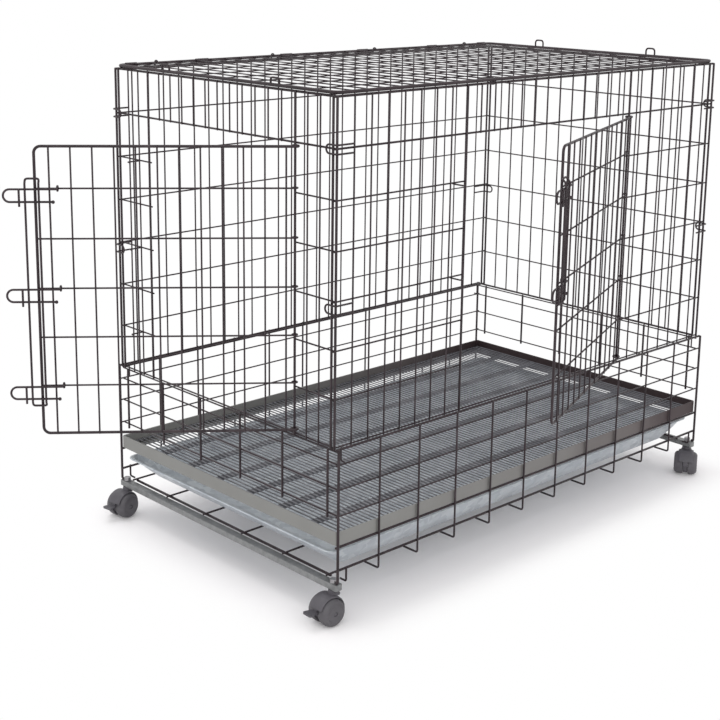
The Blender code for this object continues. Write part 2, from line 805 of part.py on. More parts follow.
def wheel(name, side, parent):
    """One of a caster's two wheels, turned about the axle."""
    work = bmesh.new()
    bore = AXLE_RADIUS + 0.0001
    bevel = 0.003
    sides = 14
    profile = (
        (bore, 0),
        (WHEEL_RADIUS, 0),
        (WHEEL_RADIUS, WHEEL_WIDE - bevel),
        (WHEEL_RADIUS - bevel, WHEEL_WIDE),
        (bore, WHEEL_WIDE),
    )
    loops = []
    for radius, across in profile:
        y = side * (WHEEL_GAP + across)
        corners = circle(radius, sides)
        loops.append([work.verts.new((u, y, v)) for u, v in corners])
    for index, here in enumerate(loops):
        there = loops[(index + 1) % len(loops)]
        for step in range(sides):
            turned = (step + 1) % sides
            work.faces.new((here[step], here[turned], there[turned], there[step]))
    bmesh.ops.rotate(work, matrix=Matrix.Rotation(math.pi / 2 - math.pi, 3, "Y"), verts=work.verts)
    made = add_object(name, work, caster_plastic(name))
    place(made, (TRAIL, 0, WHEEL_RADIUS), 0, parent)


def hood(name, spot, turn):
    """Cover over both wheels, with a web for the axle and a neck for the stem."""
    inner = WHEEL_RADIUS + 0.0008
    outer = inner + 0.0025
    reach = WHEEL_GAP + WHEEL_WIDE
    angles = [math.radians(20 + 20 * step) for step in range(10)]
    shell_outline = [(TRAIL + outer * math.cos(a), WHEEL_RADIUS + outer * math.sin(a)) for a in angles]
    shell_outline += [
        (TRAIL + inner * math.cos(a), WHEEL_RADIUS + inner * math.sin(a)) for a in reversed(angles)
    ]
    shell = bmesh.new()
    prism(shell, shell_outline, -reach, reach, "Y")
    web_radius = (inner + outer) / 2
    web_outline = [
        (TRAIL + web_radius * math.cos(a), WHEEL_RADIUS + web_radius * math.sin(a)) for a in angles[1:-2]
    ]
    web_outline += [(TRAIL - 0.0145, WHEEL_RADIUS - 0.003), (TRAIL - 0.009, WHEEL_RADIUS - 0.0125)]
    web_outline += [(TRAIL + 0.009, WHEEL_RADIUS - 0.0125), (TRAIL + 0.0145, WHEEL_RADIUS - 0.003)]
    nose = TRAIL + LEVER_OUT - 0.0022
    web_outline += [(nose, LEVER_HEIGHT - 0.003), (nose, LEVER_HEIGHT + 0.003)]
    web = bmesh.new()
    half = WHEEL_GAP - 0.0008
    prism(web, web_outline, -half, half, "Y")
    neck = bmesh.new()
    neck_top = bar_top() - BAR_HIGH - GAP
    prism(neck, circle(NECK_RADIUS, 12), NECK_LOW, neck_top)
    bore = bmesh.new()
    prism(bore, circle(STEM_RADIUS + 0.00025, 12), BORE_LOW, neck_top + 0.01)
    axle_hole = bmesh.new()
    hole = circle(AXLE_RADIUS + 0.0001, 12, (TRAIL, WHEEL_RADIUS))
    prism(axle_hole, hole, -2 * half, 2 * half, "Y")
    made = add_object(name, shell, caster_plastic(name))
    join_to(made, web)
    join_to(made, neck)
    join_to(made, bore, "DIFFERENCE")
    join_to(made, axle_hole, "DIFFERENCE")
    place(made, spot, turn)
    return made


def stem(name, spot):
    """Bolt of a caster: smooth pin below, hexagon head on the base bar."""
    work = bmesh.new()
    low = STEM_LOW
    seat = bar_top() + GAP
    high = seat + 0.0057
    shaft = circle(STEM_RADIUS, 12)
    head = []
    for index, (u, v) in enumerate(circle(1.0, 12)):
        size = NUT_RADIUS if index % 2 == 0 else NUT_RADIUS * math.cos(math.pi / 6)
        head.append((u * size, v * size))
    loops = []
    for outline, z in ((shaft, low), (shaft, seat), (head, seat), (head, high)):
        loops.append([work.verts.new((u, v, z)) for u, v in outline])
    for here, there in zip(loops, loops[1:]):
        for step in range(12):
            turned = (step + 1) % 12
            work.faces.new((here[step], here[turned], there[turned], there[step]))
    work.faces.new(loops[0])
    work.faces.new(loops[-1])
    steel = make_material(name + "_steel", (0.30, 0.29, 0.30), 0.4, 0.9)
    made = add_object(name, work, steel)
    place(made, spot)


def axle(name, parent):
    """Pin that carries both wheels."""
    work = bmesh.new()
    reach = WHEEL_GAP + WHEEL_WIDE - 0.0002
    prism(work, circle(AXLE_RADIUS, 12), -reach, reach, "Y")
    steel = make_material(name + "_steel", (0.35, 0.34, 0.34), 0.35, 0.9)
    made = add_object(name, work, steel)
    place(made, (TRAIL, 0, WHEEL_RADIUS), 0, parent)


def brake_lever(name, parent):
    """Foot lever behind the wheels; its origin is on the lever's pivot."""
    work = bmesh.new()
    outline = [(-0.0015, -0.007), (0.011, -0.009), (0.013, -0.006)]
    outline += [(u, -v) for u, v in reversed(outline)]
    prism(work, outline, -0.0015, 0.0015)
    made = add_object(name, work, caster_plastic(name))
    place(made, (TRAIL + LEVER_OUT, 0, LEVER_HEIGHT), 0, parent)


def casters():
    """Four twin-wheel casters; those at the tray end have a brake."""
    for name, along, side, heading in SWIVELS:
        spot = (along * STEM_X, side * STEM_Y, 0)
        stem("caster_stem_" + name, spot)
        cover = hood("caster_hood_" + name, spot, heading)
        axle("caster_axle_" + name, cover)
        wheel("caster_wheel_" + name + "_a", -1, cover)
        wheel("caster_wheel_" + name + "_b", 1, cover)
        if along < 0:
            brake_lever("brake_lever_" + name, cover)


def main():
    """Builds the whole cage."""
    clear_scene()
    low_long_wall("low_wall_front", -1)
    low_long_wall("low_wall_back", 1)
    low_end_wall("low_wall_left", -1)
    low_end_wall("low_wall_right", 1)
    tray_rails()
    base_parts()
    grille_frame()
    grille_bars()
    tray()
    upper_front()
    upper_back()
    upper_left()
    upper_right()
    corner_clips()
    roof()
    doors()
    casters()


main()
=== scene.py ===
import math

import bmesh
import bpy
from mathutils import Matrix, Vector


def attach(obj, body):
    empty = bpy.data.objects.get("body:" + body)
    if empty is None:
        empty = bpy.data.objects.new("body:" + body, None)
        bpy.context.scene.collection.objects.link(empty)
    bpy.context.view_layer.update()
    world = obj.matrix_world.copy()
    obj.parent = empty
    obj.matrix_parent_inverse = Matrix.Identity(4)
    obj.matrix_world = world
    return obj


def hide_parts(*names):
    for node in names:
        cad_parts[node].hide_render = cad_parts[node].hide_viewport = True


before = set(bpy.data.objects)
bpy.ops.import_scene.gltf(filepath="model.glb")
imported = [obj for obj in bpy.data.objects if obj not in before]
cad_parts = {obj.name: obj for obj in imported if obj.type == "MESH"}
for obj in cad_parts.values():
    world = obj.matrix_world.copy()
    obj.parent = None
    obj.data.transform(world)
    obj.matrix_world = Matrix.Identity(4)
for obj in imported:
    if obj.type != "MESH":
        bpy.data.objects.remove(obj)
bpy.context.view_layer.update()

# Sizes as in the solids, in metres
LENGTH = 0.861
WIDTH = 0.505
WALL_TOP = 0.728
WALL_FOOT = 0.2524
LEVEL_COUNT = 7
LOW_WIDER = 0.018
LOW_WIDTH = WIDTH + LOW_WIDER


def level(number):
    """Height of a wall level, where 0 is the top rail and 7 the bottom one."""
    return WALL_TOP - number * (WALL_TOP - WALL_FOOT) / LEVEL_COUNT


# Wires and clearances
GAP = 0.0003
THIN = 0.00125
STOUT = 0.0015
THICK = 0.002
RIM = 0.0025
LAYER = 2 * THIN + GAP
LOW_LAYER = THIN + STOUT + GAP
PAST = 0.0013  # wires reach this far past the wires that they cross
WELD = 0.0002  # and round ones this far into them

# Upper walls
END_INSET = 0.0075
BACK_SPACES = 29
SIDE_SPACES = (8, 13, 8)
END_SPACES = (3, 12, 3)
END_WALL_SPACES = 17
FOOT_INSET = 0.0125
CLIP_LEVELS = (level(1), level(4) - 0.0098)

# Low walls and base
LOW_SPACES = 11
LOW_RAILS = (0.230, 0.194, 0.156)
GRILLE_RAIL = 0.1107
TRAY_RAIL = 0.0765
HOOK_LEVEL = 0.0585
HOOK_REACH = 0.0285
SHORT_HOOK_INSET = 0.016
SHORT_HOOK_REACH = 0.0125
SMALL_BEND = 0.003
HOOK_BEND = 0.004
CORNER_FOOT_REACH = 0.0045
LOW_END_X = LENGTH / 2 - 0.0005
LOW_END_POSTS = 6
LOW_END_MARGIN = 0.02275
LOW_END_PITCH = (LOW_WIDTH - 2 * LOW_END_MARGIN) / (LOW_END_POSTS - 1)
LOW_END_TAIL = 0.006
RUNNER_COUNT = 6
RUNNER_Y = LOW_WIDTH / 2 - 0.0265
RUNNER_PITCH = 2 * RUNNER_Y / (RUNNER_COUNT - 1)
RUNNER_LEVEL = HOOK_LEVEL + 2 * STOUT + GAP
RUNNER_PAST = 0.009
CROSS_X = LENGTH / 2 - 0.0115
CROSS_REACH = RUNNER_Y + 0.001
BAR_X = LENGTH / 2 - 0.0025
BAR_WIDE = 0.013
BAR_HIGH = 0.009
BAR_REACH = LOW_WIDTH / 2 + 0.001
BAR_CORNER = 0.003

# Grille and tray
FRAME_X = LENGTH / 2 + GAP
FRAME_Y = LOW_WIDTH / 2 - 0.0025
FRAME_HIGH = 0.020
FRAME_FLANGE = 0.018
FRAME_SHEET = 0.002
FRAME_CORNER = 0.004
FRAME_INNER_CORNER = 0.001
BAR_COUNT = 100
BAR_THICK = 0.003
BAR_SHORT = 0.0005
STRIP_SHORT = 0.001
STRIP_HALF = 0.0018
STRIP_INSET = 0.0022
STRIP_CORNER = 0.0008
STRIP_HEIGHTS = (0.0002, 0.0014)
SUPPORT_WIDE = 0.012
SUPPORT_THICK = 0.003
SUPPORT_COUNT = 6
SUPPORT_MARGIN = 0.0765
SUPPORT_CORNER = 0.002
SUPPORT_LIFT = 0.0001
SUPPORT_BITE = 0.0004
SUPPORT_PITCH = 2 * (FRAME_Y - SUPPORT_MARGIN) / (SUPPORT_COUNT - 1)
TRAY_RIM_X = LENGTH / 2 + 0.0015
TRAY_RIM_Y = LOW_WIDTH / 2 - 0.0135
TRAY_END_SLOPE = 0.036
TRAY_SIDE_SLOPE = 0.020
TRAY_LIP = 0.005
TRAY_SHEET = 0.0012

# Roof
ROOF_CORNER = 0.012
LOOP_HALF = 0.009
LOOP_HIGH = 0.013
LOOP_BEND = 0.0085
LOOP_SHARES = (0.75, 0.25)
ROOF_SPACES = 8
EYE_PLACES = (-12, -4, 4, 12)

# Doors and bolts
DOOR_RISE = 0.007
DOOR_TOP_DROP = 0.0046
END_DOOR_WIDE = 0.343
END_DOOR_OPEN = 51
END_DOOR_LAP = 0.006
END_DOORWAY_MIDDLE = -0.0015
END_JAMB_HINGE = END_DOORWAY_MIDDLE - (END_DOOR_WIDE - END_DOOR_LAP) / 2
END_JAMB_FREE = END_DOORWAY_MIDDLE + (END_DOOR_WIDE - END_DOOR_LAP) / 2
SIDE_DOOR_WIDE = 0.375
SIDE_DOOR_OPEN = 22
SIDE_DOOR_SPARE = 0.006
SIDE_DOORWAY_MIDDLE = 0.007
SIDE_JAMB_HINGE = SIDE_DOORWAY_MIDDLE + (SIDE_DOOR_WIDE + SIDE_DOOR_SPARE) / 2
SIDE_JAMB_FREE = SIDE_DOORWAY_MIDDLE - (SIDE_DOOR_WIDE + SIDE_DOOR_SPARE) / 2
DOOR_PITCH = 0.0285
DOOR_FIRST = 0.012
DOOR_LAST = 0.019
BOLT_TALL = 0.017
BOLT_OUT = 0.041
BOLT_IN = 0.024
BOLT_CURL_SHIFT = 0.004
BOLT_STEP_ALONG = 0.0015
BOLT_STEP_OUT = 0.001
THUMB_OUT = 0.020
THUMB_TAIL = 0.006
THUMB_BITE = 0.0005
KNOB_RADIUS = 0.0024
KNOB_SHIFT = 0.0009
KEEPER_OUT = 0.028
KEEPER_LIP = 0.005
KEEPER_BEND = 0.0025
END_BOLT_LEVELS = (2, 4, 6)
SIDE_BOLT_LEVELS = (2, 4)
CARRIER_ABOVE = 0.014
CARRIER_BELOW = 0.010
CARRIER_IN = 0.006
CARRIER_OUT = 0.012
CARRIER_SLANT = 0.006

# Casters
STEM_X = BAR_X
STEM_Y = LOW_WIDTH / 2 - 0.011
STEM_RADIUS = 0.004
NUT_RADIUS = 0.0058
NUT_HIGH = 0.0057
STEM_LOW = 0.0428
NECK_LOW = 0.0404
NECK_RADIUS = 0.0075
WHEEL_RADIUS = 0.020
WHEEL_WIDE = 0.0155
WHEEL_GAP = 0.0045
AXLE_RADIUS = 0.003
TRAIL = 0.012
LEVER_OUT = 0.0235
LEVER_HEIGHT = 0.0235
LEVER_EDGE = ((-0.0015, -0.007), (0.011, -0.009), (0.013, -0.0065))
LEVER_LAYERS = (-0.0015, 0.0012)
RIB_PLACES = (0.0045, 0.0075, 0.0105)
RIB_HALF_LONG = 0.0006
RIB_HALF_WIDE = 0.006
RIB_CORNER = 0.0005
RIB_LAYERS = (0.001, 0.0015)
HOOD_GAP = 0.0008
HOOD_SHEET = 0.0025
HOOD_TURN = range(20, 201, 5)
WEB_TURN = range(38, 179, 5)
WEB_FOOT = ((-0.017, -0.003), (-0.010, -0.015), (0.010, -0.015), (0.017, -0.003))
NOSE_SHORT = 0.0022
NOSE_HALF = 0.003
SWIVELS = (
    ("near", -1, -1, 178),
    ("left", -1, 1, 190),
    ("right", 1, -1, 212),
    ("far", 1, 1, 60),
)

# Shown otherwise than in the solids, after the photograph
ROUND_THIN = 0.0012
ROUND_STOUT = 0.0015
ROUND_THICK = 0.0018
ROUND_ROOF = 0.00095
ROUND_BAR = 0.0012
ROUND_CLIP = 0.00135
DOOR_EDGE_WIRE = ROUND_THIN + 0.0001
DOOR_CORNER = 0.009
TRAY_HIGH = 0.036
LOW_LOOP_HIGH = 0.75 * LOOP_HIGH
HOOD_REACH = WHEEL_GAP + 0.55 * WHEEL_WIDE
CLIP_REACH = 0.026
CLIP_HALF = 0.006
CLIP_BEND = 0.0035

# Sleeves round the back rim, only in the scene
SLEEVE_HALF = 0.0125
SLEEVE_LAST_HALF = 0.0105
SLEEVE_PLACES = (-9, -3, 3, 9)
SLEEVE_LAST = 0.4035
SLEEVE_SKIN = 0.0034
SLEEVE_SHEET = 0.0006
SLEEVE_EDGE = 0.0004


# Materials

def new_material(name):
    made = bpy.data.materials.new(name)
    made.use_nodes = True
    tree = made.node_tree
    return made, tree, tree.nodes["Principled BSDF"]


def set_inputs(node, values):
    for name, value in values.items():
        node.inputs[name].default_value = value


def add_noise(tree, scale, detail=4.0, stretch=None):
    """Noise in the object's own coordinates."""
    place = tree.nodes.new("ShaderNodeTexCoord")
    vector = place.outputs["Object"]
    if stretch:
        mapping = tree.nodes.new("ShaderNodeMapping")
        mapping.inputs["Scale"].default_value = stretch
        tree.links.new(vector, mapping.inputs["Vector"])
        vector = mapping.outputs["Vector"]
    noise = tree.nodes.new("ShaderNodeTexNoise")
    set_inputs(noise, {"Scale": scale, "Detail": detail})
    tree.links.new(vector, noise.inputs["Vector"])
    return noise.outputs["Fac"]


def add_ramp(tree, factor, stops):
    """Colour ramp; stops are (position, colour)."""
    ramp = tree.nodes.new("ShaderNodeValToRGB")
    elements = ramp.color_ramp.elements
    while len(elements) < len(stops):
        elements.new(0.5)
    for element, (position, colour) in zip(elements, stops):
        element.position = position
        element.color = (*colour, 1.0)
    tree.links.new(factor, ramp.inputs["Fac"])
    return ramp.outputs["Color"]


def add_range(tree, factor, low, high):
    """Moves noise, which mostly lies between 0.3 and 0.7, to low..high."""
    shift = tree.nodes.new("ShaderNodeMapRange")
    set_inputs(shift, {"From Min": 0.3, "From Max": 0.7, "To Min": low, "To Max": high})
    tree.links.new(factor, shift.inputs["Value"])
    return shift.outputs["Result"]


def add_bump(tree, shader, height, strength, distance=0.0002):
    bump = tree.nodes.new("ShaderNodeBump")
    set_inputs(bump, {"Strength": strength, "Distance": distance})
    tree.links.new(height, bump.inputs["Height"])
    tree.links.new(bump.outputs["Normal"], shader.inputs["Normal"])


def grained_material(name, stops, patches, rough, grain, grain_strength, metallic=0.0):
    """Patchy colour and roughness over a fine grain; patches and grain are (scale, detail)."""
    made, tree, shader = new_material(name)
    noise = add_noise(tree, *patches)
    tree.links.new(add_ramp(tree, noise, stops), shader.inputs["Base Color"])
    tree.links.new(add_range(tree, noise, *rough), shader.inputs["Roughness"])
    shader.inputs["Metallic"].default_value = metallic
    add_bump(tree, shader, add_noise(tree, *grain), grain_strength)
    return made


def coat_material():
    """Dark brown-black coating on wire, with slight orange peel and rubbed spots."""
    stops = (
        (0.30, (0.016, 0.009, 0.012)),
        (0.55, (0.028, 0.017, 0.021)),
        (0.80, (0.060, 0.044, 0.050)),
    )
    made = grained_material(
        "wire_coat", stops, patches=(35.0, 4.0), rough=(0.30, 0.48),
        grain=(900.0, 3.0), grain_strength=0.25, metallic=0.1,
    )
    sheen = {"Specular IOR Level": 0.35, "Coat Weight": 0.06, "Coat Roughness": 0.25}
    set_inputs(made.node_tree.nodes["Principled BSDF"], sheen)
    return made


def grille_material():
    """Coating of the grille's bars, a little bluer and more rubbed than the wires'."""
    stops = (
        (0.30, (0.115, 0.116, 0.130)),
        (0.55, (0.175, 0.175, 0.192)),
        (0.80, (0.265, 0.265, 0.282)),
    )
    return grained_material(
        "grille_coat", stops, patches=(22.0, 4.0), rough=(0.34, 0.50),
        grain=(800.0, 3.0), grain_strength=0.25, metallic=0.3,
    )


def frame_material():
    """Coating of the grille frame, dark brown, with a painted reflection: warm grey at the left
    end, darker brown to the right.
    """
    made, tree, shader = new_material("frame_coat_and_painted_reflection")
    place = tree.nodes.new("ShaderNodeTexCoord")
    split = tree.nodes.new("ShaderNodeSeparateXYZ")
    tree.links.new(place.outputs["Object"], split.inputs["Vector"])
    # Painted reflection along X: pale at the left end, fading into the coat's own dark brown at
    # the right
    along = tree.nodes.new("ShaderNodeMapRange")
    half = 0.43
    set_inputs(along, {"From Min": -half, "From Max": half})
    tree.links.new(split.outputs["X"], along.inputs["Value"])
    patches = add_noise(tree, scale=14.0)
    patch_share = 0.16
    reflection_and_patches = tree.nodes.new("ShaderNodeMath")
    reflection_and_patches.operation = "MULTIPLY_ADD"
    reflection_and_patches.inputs[1].default_value = patch_share
    tree.links.new(patches, reflection_and_patches.inputs[0])
    tree.links.new(along.outputs["Result"], reflection_and_patches.inputs[2])
    # The pale stops are painted reflection; the dark brown ones are the coat's own colour
    stops = (
        (0.08, (0.235, 0.235, 0.225)),
        (0.60, (0.185, 0.178, 0.173)),
        (0.85, (0.115, 0.098, 0.097)),
        (1.0, (0.055, 0.038, 0.040)),
    )
    tree.links.new(add_ramp(tree, reflection_and_patches.outputs["Value"], stops), shader.inputs["Base Color"])
    grain = add_noise(tree, scale=600.0, detail=3.0)
    tree.links.new(add_range(tree, patches, low=0.38, high=0.55), shader.inputs["Roughness"])
    shader.inputs["Metallic"].default_value = 0.35
    add_bump(tree, shader, grain, strength=0.3, distance=0.0003)
    return made


def zinc_material():
    """Galvanised sheet with faint spangles and rubbing marks along X."""
    made, tree, shader = new_material("zinc_sheet")
    place = tree.nodes.new("ShaderNodeTexCoord")
    spangle = tree.nodes.new("ShaderNodeTexVoronoi")
    spangle.inputs["Scale"].default_value = 90.0
    tree.links.new(place.outputs["Object"], spangle.inputs["Vector"])
    flecks = tree.nodes.new("ShaderNodeSeparateColor")
    tree.links.new(spangle.outputs["Color"], flecks.inputs["Color"])
    stops = (
        (0.0, (0.46, 0.50, 0.54)),
        (0.5, (0.53, 0.57, 0.61)),
        (1.0, (0.62, 0.66, 0.69)),
    )
    tree.links.new(add_ramp(tree, flecks.outputs["Red"], stops), shader.inputs["Base Color"])
    rubs = add_noise(tree, scale=60.0, detail=5.0, stretch=(0.25, 3.0, 3.0))
    tree.links.new(add_range(tree, rubs, low=0.34, high=0.52), shader.inputs["Roughness"])
    shader.inputs["Metallic"].default_value = 0.2
    add_bump(tree, shader, rubs, strength=0.12, distance=0.0003)
    return made


def steel_material(name, light, dark, metallic, rough):
    """Plain steel with a brushed or cast grain."""
    stops = ((0.3, dark), (0.7, light))
    return grained_material(
        name, stops, patches=(120.0, 5.0), rough=rough,
        grain=(1400.0, 2.0), grain_strength=0.2, metallic=metallic,
    )


def plastic_material(name, light, dark, rough, grain_scale):
    """Moulded plastic with a fine spark-eroded grain."""
    stops = ((0.35, dark), (0.7, light))
    return grained_material(
        name, stops, patches=(45.0, 3.0), rough=rough,
        grain=(grain_scale, 2.0), grain_strength=0.2,
    )


COAT = coat_material()
GRILLE_COAT = grille_material()
FRAME_COAT_AND_REFLECTION = frame_material()
ZINC = zinc_material()
BASE = steel_material(
    "base_steel", light=(0.27, 0.275, 0.275), dark=(0.18, 0.182, 0.185),
    metallic=0.5, rough=(0.34, 0.50),
)
BRIGHT = steel_material(
    "bolt_steel", light=(0.42, 0.41, 0.42), dark=(0.30, 0.29, 0.30),
    metallic=0.85, rough=(0.28, 0.44),
)
PLASTIC = plastic_material(
    "caster_plastic", light=(0.098, 0.092, 0.105), dark=(0.066, 0.062, 0.072),
    rough=(0.41, 0.53), grain_scale=1300.0,
)
TREAD = plastic_material(
    "wheel_plastic", light=(0.105, 0.100, 0.110), dark=(0.072, 0.068, 0.076),
    rough=(0.50, 0.62), grain_scale=900.0,
)


# Mesh helpers

SAME_PLACE = 1e-5  # points nearer than this are one
STRAIGHT = 0.05  # radians; a smaller turn stays a corner
BEND_SHARE = 0.45  # most of a span that one bend may take
FLAT_ANGLE = 35  # degrees; sharper edges are rounded
BLUNT_LENGTH = 0.35  # a wire's rounded end, as shares of its radius
BLUNT_RADIUS = 0.7
XY = ((1, 0, 0), (0, 1, 0))  # the planes that arcs turn in
XZ = ((1, 0, 0), (0, 0, 1))
YZ = ((0, 1, 0), (0, 0, 1))


def finish_piece(work, name, material, body, smooth=True):
    """Makes the mesh an object that rides on its body and stands for its node."""
    bmesh.ops.recalc_face_normals(work, faces=work.faces)
    mesh = bpy.data.meshes.new(name + "_shape")
    work.to_mesh(mesh)
    work.free()
    piece = bpy.data.objects.new(name + "_shape", mesh)
    bpy.context.scene.collection.objects.link(piece)
    mesh.materials.append(material)
    if smooth:
        mesh.shade_smooth()
    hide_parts(name)
    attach(piece, body)
    return piece


def soften(piece, width, segments=2):
    """Rounds the edges and keeps flat faces flat."""
    bevel = piece.modifiers.new("Edges", "BEVEL")
    bevel.width = width
    bevel.segments = segments
    bevel.limit_method = "ANGLE"
    bevel.angle_limit = math.radians(FLAT_ANGLE)
    bevel.harden_normals = True


def round_bends(path, radius, steps=5, closed=False):
    """The path with an arc of about that radius at each of its bends."""
    points = [Vector(point) for point in path]
    made = [] if closed else [points[0]]
    count = len(points)
    indices = range(count) if closed else range(1, count - 1)
    for index in indices:
        here = points[index]
        to_last = points[index - 1] - here
        to_next = points[(index + 1) % count] - here
        turn = math.pi - to_last.angle(to_next)
        if turn < STRAIGHT:
            made.append(here)
            continue
        cut = radius * math.tan(turn / 2)
        cut = min(cut, BEND_SHARE * to_last.length, BEND_SHARE * to_next.length)
        start = here + to_last.normalized() * cut
        end = here + to_next.normalized() * cut
        for step in range(steps + 1):
            t = step / steps
            made.append((1 - t) ** 2 * start + 2 * t * (1 - t) * here + t ** 2 * end)
    if not closed:
        made.append(points[-1])
    return made


def slide(ring, point, along, normal):
    """Moves the ring's corners along a direction onto a plane."""
    reach = along.dot(normal)
    return [corner + along * ((point - corner).dot(normal) / reach) for corner in ring]


def tube(work, path, radius, closed=False, sides=10, matrix=None):
    """Round wire along the path, with slightly rounded ends."""
    points = [Vector(point) for point in path]
    kept = [points[0]]
    for point in points[1:]:
        if (point - kept[-1]).length > SAME_PLACE:
            kept.append(point)
    points = kept
    count = len(points)
    spans = count if closed else count - 1
    heads = [(points[(i + 1) % count] - points[i]).normalized() for i in range(spans)]
    first = heads[0]
    helper = Vector((0, 0, 1)) if abs(first.z) < 0.9 else Vector((1, 0, 0))
    out = (helper - first * helper.dot(first)).normalized()
    across = first.cross(out)
    angles = [2 * math.pi * i / sides for i in range(sides)]
    ring = [points[0] + radius * (math.cos(a) * out + math.sin(a) * across) for a in angles]
    if closed:
        ring = slide(ring, points[0], first, heads[-1] + first)
    rings = [ring]
    for index in range(1, count):
        before = heads[index - 1]
        after = heads[index] if index < spans else before
        ring = slide(ring, points[index], before, before + after)
        rings.append(ring)
    if not closed:
        blunt = radius * BLUNT_LENGTH
        first_end = [points[0] + (c - points[0]) * BLUNT_RADIUS for c in rings[0]]
        last_end = [points[-1] + (c - points[-1]) * BLUNT_RADIUS for c in rings[-1]]
        rings[0] = [c + heads[0] * blunt for c in rings[0]]
        rings[-1] = [c - heads[-1] * blunt for c in rings[-1]]
        rings = [first_end] + rings + [last_end]
    if matrix:
        rings = [[matrix @ c for c in ring] for ring in rings]
    loops = [[work.verts.new(c) for c in ring] for ring in rings]
    turns = len(loops) if closed else len(loops) - 1
    for index in range(turns):
        here = loops[index]
        there = loops[(index + 1) % len(loops)]
        for side in range(sides):
            after = (side + 1) % sides
            work.faces.new((here[side], here[after], there[after], there[side]))
    if not closed:
        work.faces.new(loops[0])
        work.faces.new(reversed(loops[-1]))


def arc(centre, radius, start, end, steps, plane):
    """Points on an arc; plane gives the two directions it turns in."""
    one = Vector(plane[0])
    two = Vector(plane[1])
    made = []
    for index in range(steps + 1):
        angle = math.radians(start + (end - start) * index / steps)
        made.append(Vector(centre) + radius * (math.cos(angle) * one + math.sin(angle) * two))
    return made


def loft(work, rings, wrap=False, matrix=None):
    """Skin over equal rings of points; wrap joins the last to the first."""
    if matrix:
        rings = [[matrix @ Vector(c) for c in ring] for ring in rings]
    loops = [[work.verts.new(c) for c in ring] for ring in rings]
    count = len(loops[0])
    turns = len(loops) if wrap else len(loops) - 1
    for index in range(turns):
        here = loops[index]
        there = loops[(index + 1) % len(loops)]
        for step in range(count):
            after = (step + 1) % count
            work.faces.new((here[step], here[after], there[after], there[step]))
    if not wrap:
        work.faces.new(loops[0])
        work.faces.new(loops[-1])


def rounded_rectangle(half_x, half_y, radius, z, steps=6):
    made = []
    for sx, sy, start in ((1, 1, 0), (-1, 1, 90), (-1, -1, 180), (1, -1, 270)):
        for step in range(steps + 1):
            angle = math.radians(start + 90 * step / steps)
            x = sx * (half_x - radius) + radius * math.cos(angle)
            y = sy * (half_y - radius) + radius * math.sin(angle)
            made.append((x, y, z))
    return made


def plate(work, half_x, half_y, corner, heights, shift, steps=3, matrix=None):
    """Flat bar with round corners between two heights, moved by shift."""
    rings = []
    for z in heights:
        ring = rounded_rectangle(half_x, half_y, corner, z, steps)
        rings.append([Vector(point) + Vector(shift) for point in ring])
    loft(work, rings, matrix=matrix)


def spaced(start, end, spaces):
    """Places between start and end, without these two."""
    return [start + (end - start) * index / spaces for index in range(1, spaces)]


def turned(spot, degrees):
    return Matrix.Translation(spot) @ Matrix.Rotation(math.radians(degrees), 4, "Z")


def see_radius(radius):
    """Round radius shown for a wire of the solids."""
    return {THIN: ROUND_THIN, STOUT: ROUND_STOUT, THICK: ROUND_THICK}.get(radius, radius)


def post(work, matrix, x, low, high, radius):
    tube(work, [(x, 0, low), (x, 0, high)], see_radius(radius), matrix=matrix)


def rail(work, matrix, z, left, right, radius, layer=LAYER):
    tube(work, [(left, layer, z), (right, layer, z)], see_radius(radius), matrix=matrix)


# Upper walls

def bolt_plane():
    return door_upright_plane() + THICK + GAP + STOUT


def door_rail_plane():
    return THICK + GAP + THIN


def door_upright_plane():
    return door_rail_plane() + LAYER


def keeper_hook(work, matrix, x, z):
    """Hook on the wall that holds a bolt."""
    out = -(bolt_plane() + 2 * STOUT + GAP + STOUT + THIN)
    path = [(x, LAYER + PAST, z), (x, out, z), (x + KEEPER_LIP, out, z)]
    tube(work, round_bends(path, KEEPER_BEND), ROUND_THIN, matrix=matrix)


def add_feet(work, matrix):
    """Two short legs that stand on the low wall's upper wire."""
    top = level(LEVEL_COUNT) + PAST
    rest = LOW_RAILS[0] + 2 * THIN + GAP
    out = -(LOW_WIDTH - WIDTH) / 2 + LOW_LAYER - THIN
    for side in (-1, 1):
        x = side * (LENGTH / 2 - FOOT_INSET)
        path = round_bends([(x, 0, top), (x, 0, rest), (x, out, rest)], SMALL_BEND)
        tube(work, path, ROUND_THIN, matrix=matrix)


def doorway_wall(work, matrix, half, jambs, spaces, keeper_x, bolts):
    """Wall with a doorway from level 1 down; spaces are those left of, over and right of it."""
    low = level(LEVEL_COUNT) - PAST
    high = level(0) + PAST
    for x in (-half, half, *jambs):
        post(work, matrix, x, low, high, THICK)
    for x in spaced(-half, jambs[0], spaces[0]) + spaced(jambs[1], half, spaces[2]):
        post(work, matrix, x, low, high, THIN)
    for x in spaced(jambs[0], jambs[1], spaces[1]):
        post(work, matrix, x, level(1) - PAST, high, THIN)
    reach = half + THICK
    for number, radius in ((0, THICK), (1, STOUT), (LEVEL_COUNT, THIN)):
        rail(work, matrix, level(number), -reach, reach, radius)
    for number in range(2, LEVEL_COUNT):
        rail(work, matrix, level(number), -reach, jambs[0] + THICK, THIN)
        rail(work, matrix, level(number), jambs[1] - THICK, reach, THIN)
    for number in bolts:
        keeper_hook(work, matrix, keeper_x, level(number) + DOOR_RISE - BOLT_TALL / 2)


def plain_wall(work, matrix, half, spaces):
    low = level(LEVEL_COUNT) - PAST
    high = level(0) + PAST
    for x in (-half, half):
        post(work, matrix, x, low, high, THICK)
    for x in spaced(-half, half, spaces):
        post(work, matrix, x, low, high, THIN)
    for number in range(LEVEL_COUNT + 1):
        radius = THICK if number in (0, LEVEL_COUNT) else THIN
        rail(work, matrix, level(number), -half - THICK, half + THICK, radius)


def roof_level():
    return WALL_TOP + THICK + GAP + RIM


